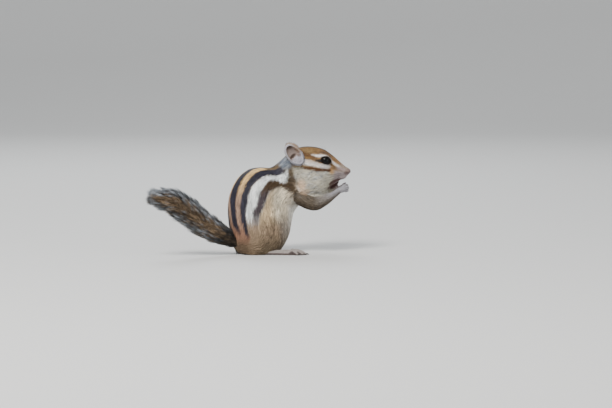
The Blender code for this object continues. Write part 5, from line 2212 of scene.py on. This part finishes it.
@dataclass
class Whiskers:
    """Long dark whiskers on the lips and a few over the eyes."""

    workshop: Workshop
    rows: int = 4
    in_a_row: int = 5
    seed: int = 5

    def __post_init__(self) -> None:
        """Makes all whiskers."""
        rng = np.random.default_rng(self.seed)
        hairs = []
        for sign in SIDES.values():
            for row in range(self.rows):
                for number in range(self.in_a_row):
                    height = 58.2 - 0.85 * row - 0.3 * number
                    root = side_of(sign, (57.6 - 1.25 * number, 2.0 + 0.42 * number, height))
                    length = (8.0 + 2.8 * number) * rng.uniform(0.8, 1.1)
                    way = Vector((-0.3 - 0.13 * number + rng.normal(0, 0.05), sign * 0.85,
                                  0.28 - 0.16 * row + rng.normal(0, 0.06))).normalized()
                    hairs.append(self.hair(root, way, length, 0.075))
            for number in range(3):
                root = side_of(sign, (41.5 + 1.3 * number, 5.9, 71.2))
                way = Vector((-0.3 + 0.12 * number, sign * 0.5, 0.85)).normalized()
                hairs.append(self.hair(root, way, 7.5 * rng.uniform(0.8, 1.1), 0.06))
        finish = Finish("whiskers", Hue.DARK_STRIPE, 0.4, 0.0004, 0.0, 0.1, 0.5)
        placed(joined("whiskers", hairs), self.workshop.make(finish), "head_fur")

    @staticmethod
    def hair(root: Vector, way: Vector, length: float, radius: float) -> Piece:
        """One whisker that droops and sweeps back a little.

        Args:
            root: Where it starts.
            way: Where it points.
            length: In millimetres.
            radius: At its root.

        Returns:
            The whisker.
        """
        bend = Vector((-0.2, 0, -0.08))
        places = (-0.08, 0.2, 0.45, 0.7, 1.0)
        points = [root + way * (length * t) + bend * (length * t * t) for t in places]
        radii = (radius, radius, radius * 0.8, radius * 0.5, radius * 0.15)
        return limb("whisker", points, radii, 8, sides=5, dome=1)


@dataclass
class Studio:
    """Pale floor, soft lights and the camera."""

    looks_at: tuple = (29.5, 0, 35.3)
    distance: float = 2.0
    elevation: float = math.radians(5)
    lens: float = 36 * 2 / (612 * 0.00072)  # shows 612 pixels of 0.72 mm at that distance
    sky: tuple = (0.93, 0.96, 1, 1)
    sky_strength: float = 0.7
    # Each lamp: its name, place from the target in metres, power, width and colour.
    lamps: tuple = (
        ("key", (-0.45, -0.85, 1.0), 24.0, 0.5, (1.0, 0.98, 0.95)),
        ("fill", (0.9, -0.9, 0.35), 4.5, 0.8, (1.0, 0.98, 0.96)),
        ("back", (-0.2, 0.9, 0.9), 9.0, 0.7, (0.95, 0.98, 1.0)),
    )

    def __post_init__(self) -> None:
        """Sets up the stage."""
        self.target = Vector(self.looks_at) * MM + ORIGIN
        self.floor()
        self.lights()
        self.camera()

    def floor(self) -> None:
        """A wide floor that runs up into a backdrop."""
        bm = bmesh.new()
        profile = [bm.verts.new((-3.0, -2.5, 0.0)), bm.verts.new((-3.0, 1.4, 0.0))]
        for angle in np.linspace(0, math.pi / 2, 12)[1:]:
            profile.append(bm.verts.new((-3.0, 1.4 + 0.8 * math.sin(angle), 0.8 - 0.8 * math.cos(angle))))
        profile.append(bm.verts.new((-3.0, 2.2, 3.2)))
        edges = [bm.edges.new(pair) for pair in zip(profile, profile[1:])]
        made = bmesh.ops.extrude_edge_only(bm, edges=edges)
        moved = [item for item in made["geom"] if isinstance(item, bmesh.types.BMVert)]
        bmesh.ops.translate(bm, vec=(6.0, 0, 0), verts=moved)
        floor = finished("floor", bm)
        material, tree, shader = new_material("floor_paint")
        set_inputs(tree, shader, {"Base Color": (0.60, 0.60, 0.59, 1), "Roughness": 0.8})
        floor.data.materials.append(material)

    def aimed(self, name: str, data: bpy.types.ID, off: Vector) -> Piece:
        """A lamp or camera that faces the target from there.

        Args:
            name: What it is called.
            data: The lamp or camera.
            off: Its place from the target in metres.

        Returns:
            The object.
        """
        made = object_of(name, data)
        made.location = self.target + off
        made.rotation_euler = (-off).to_track_quat("-Z", "Y").to_euler()
        return made

    def lights(self) -> None:
        """A soft sky, a key light from the upper left and a weaker fill."""
        world = bpy.data.worlds.new("soft_sky")
        world.use_nodes = True
        sky = world.node_tree.nodes["Background"]
        set_inputs(world.node_tree, sky, {"Color": self.sky, "Strength": self.sky_strength})
        bpy.context.scene.world = world
        for name, place, power, size, colour in self.lamps:
            data = bpy.data.lights.new(name, "AREA")
            data.energy = power
            data.size = size
            data.color = colour
            self.aimed(name, data, Vector(place))

    def camera(self) -> None:
        """The camera, level with the animal and a little above it."""
        data = bpy.data.cameras.new("camera")
        data.sensor_width = 36
        data.lens = self.lens
        data.clip_start = 0.05
        back = Vector((0, -math.cos(self.elevation), math.sin(self.elevation)))
        bpy.context.scene.camera = self.aimed("camera", data, back * self.distance)


def main() -> None:
    """Builds every piece."""
    logging.basicConfig(level=logging.INFO, format="%(message)s")
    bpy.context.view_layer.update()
    workshop = Workshop()
    Body(workshop).dress()
    Brush(workshop)
    for name in SIDES:
        Ear(name, workshop)
        Eye(name, workshop)
        Hand(name, workshop)
        Foot(name, workshop)
    Nose(workshop)
    Mouth(workshop)
    Whiskers(workshop)
    Studio()
    LOG.info("all pieces made")


if __name__ == "__main__":
    main()
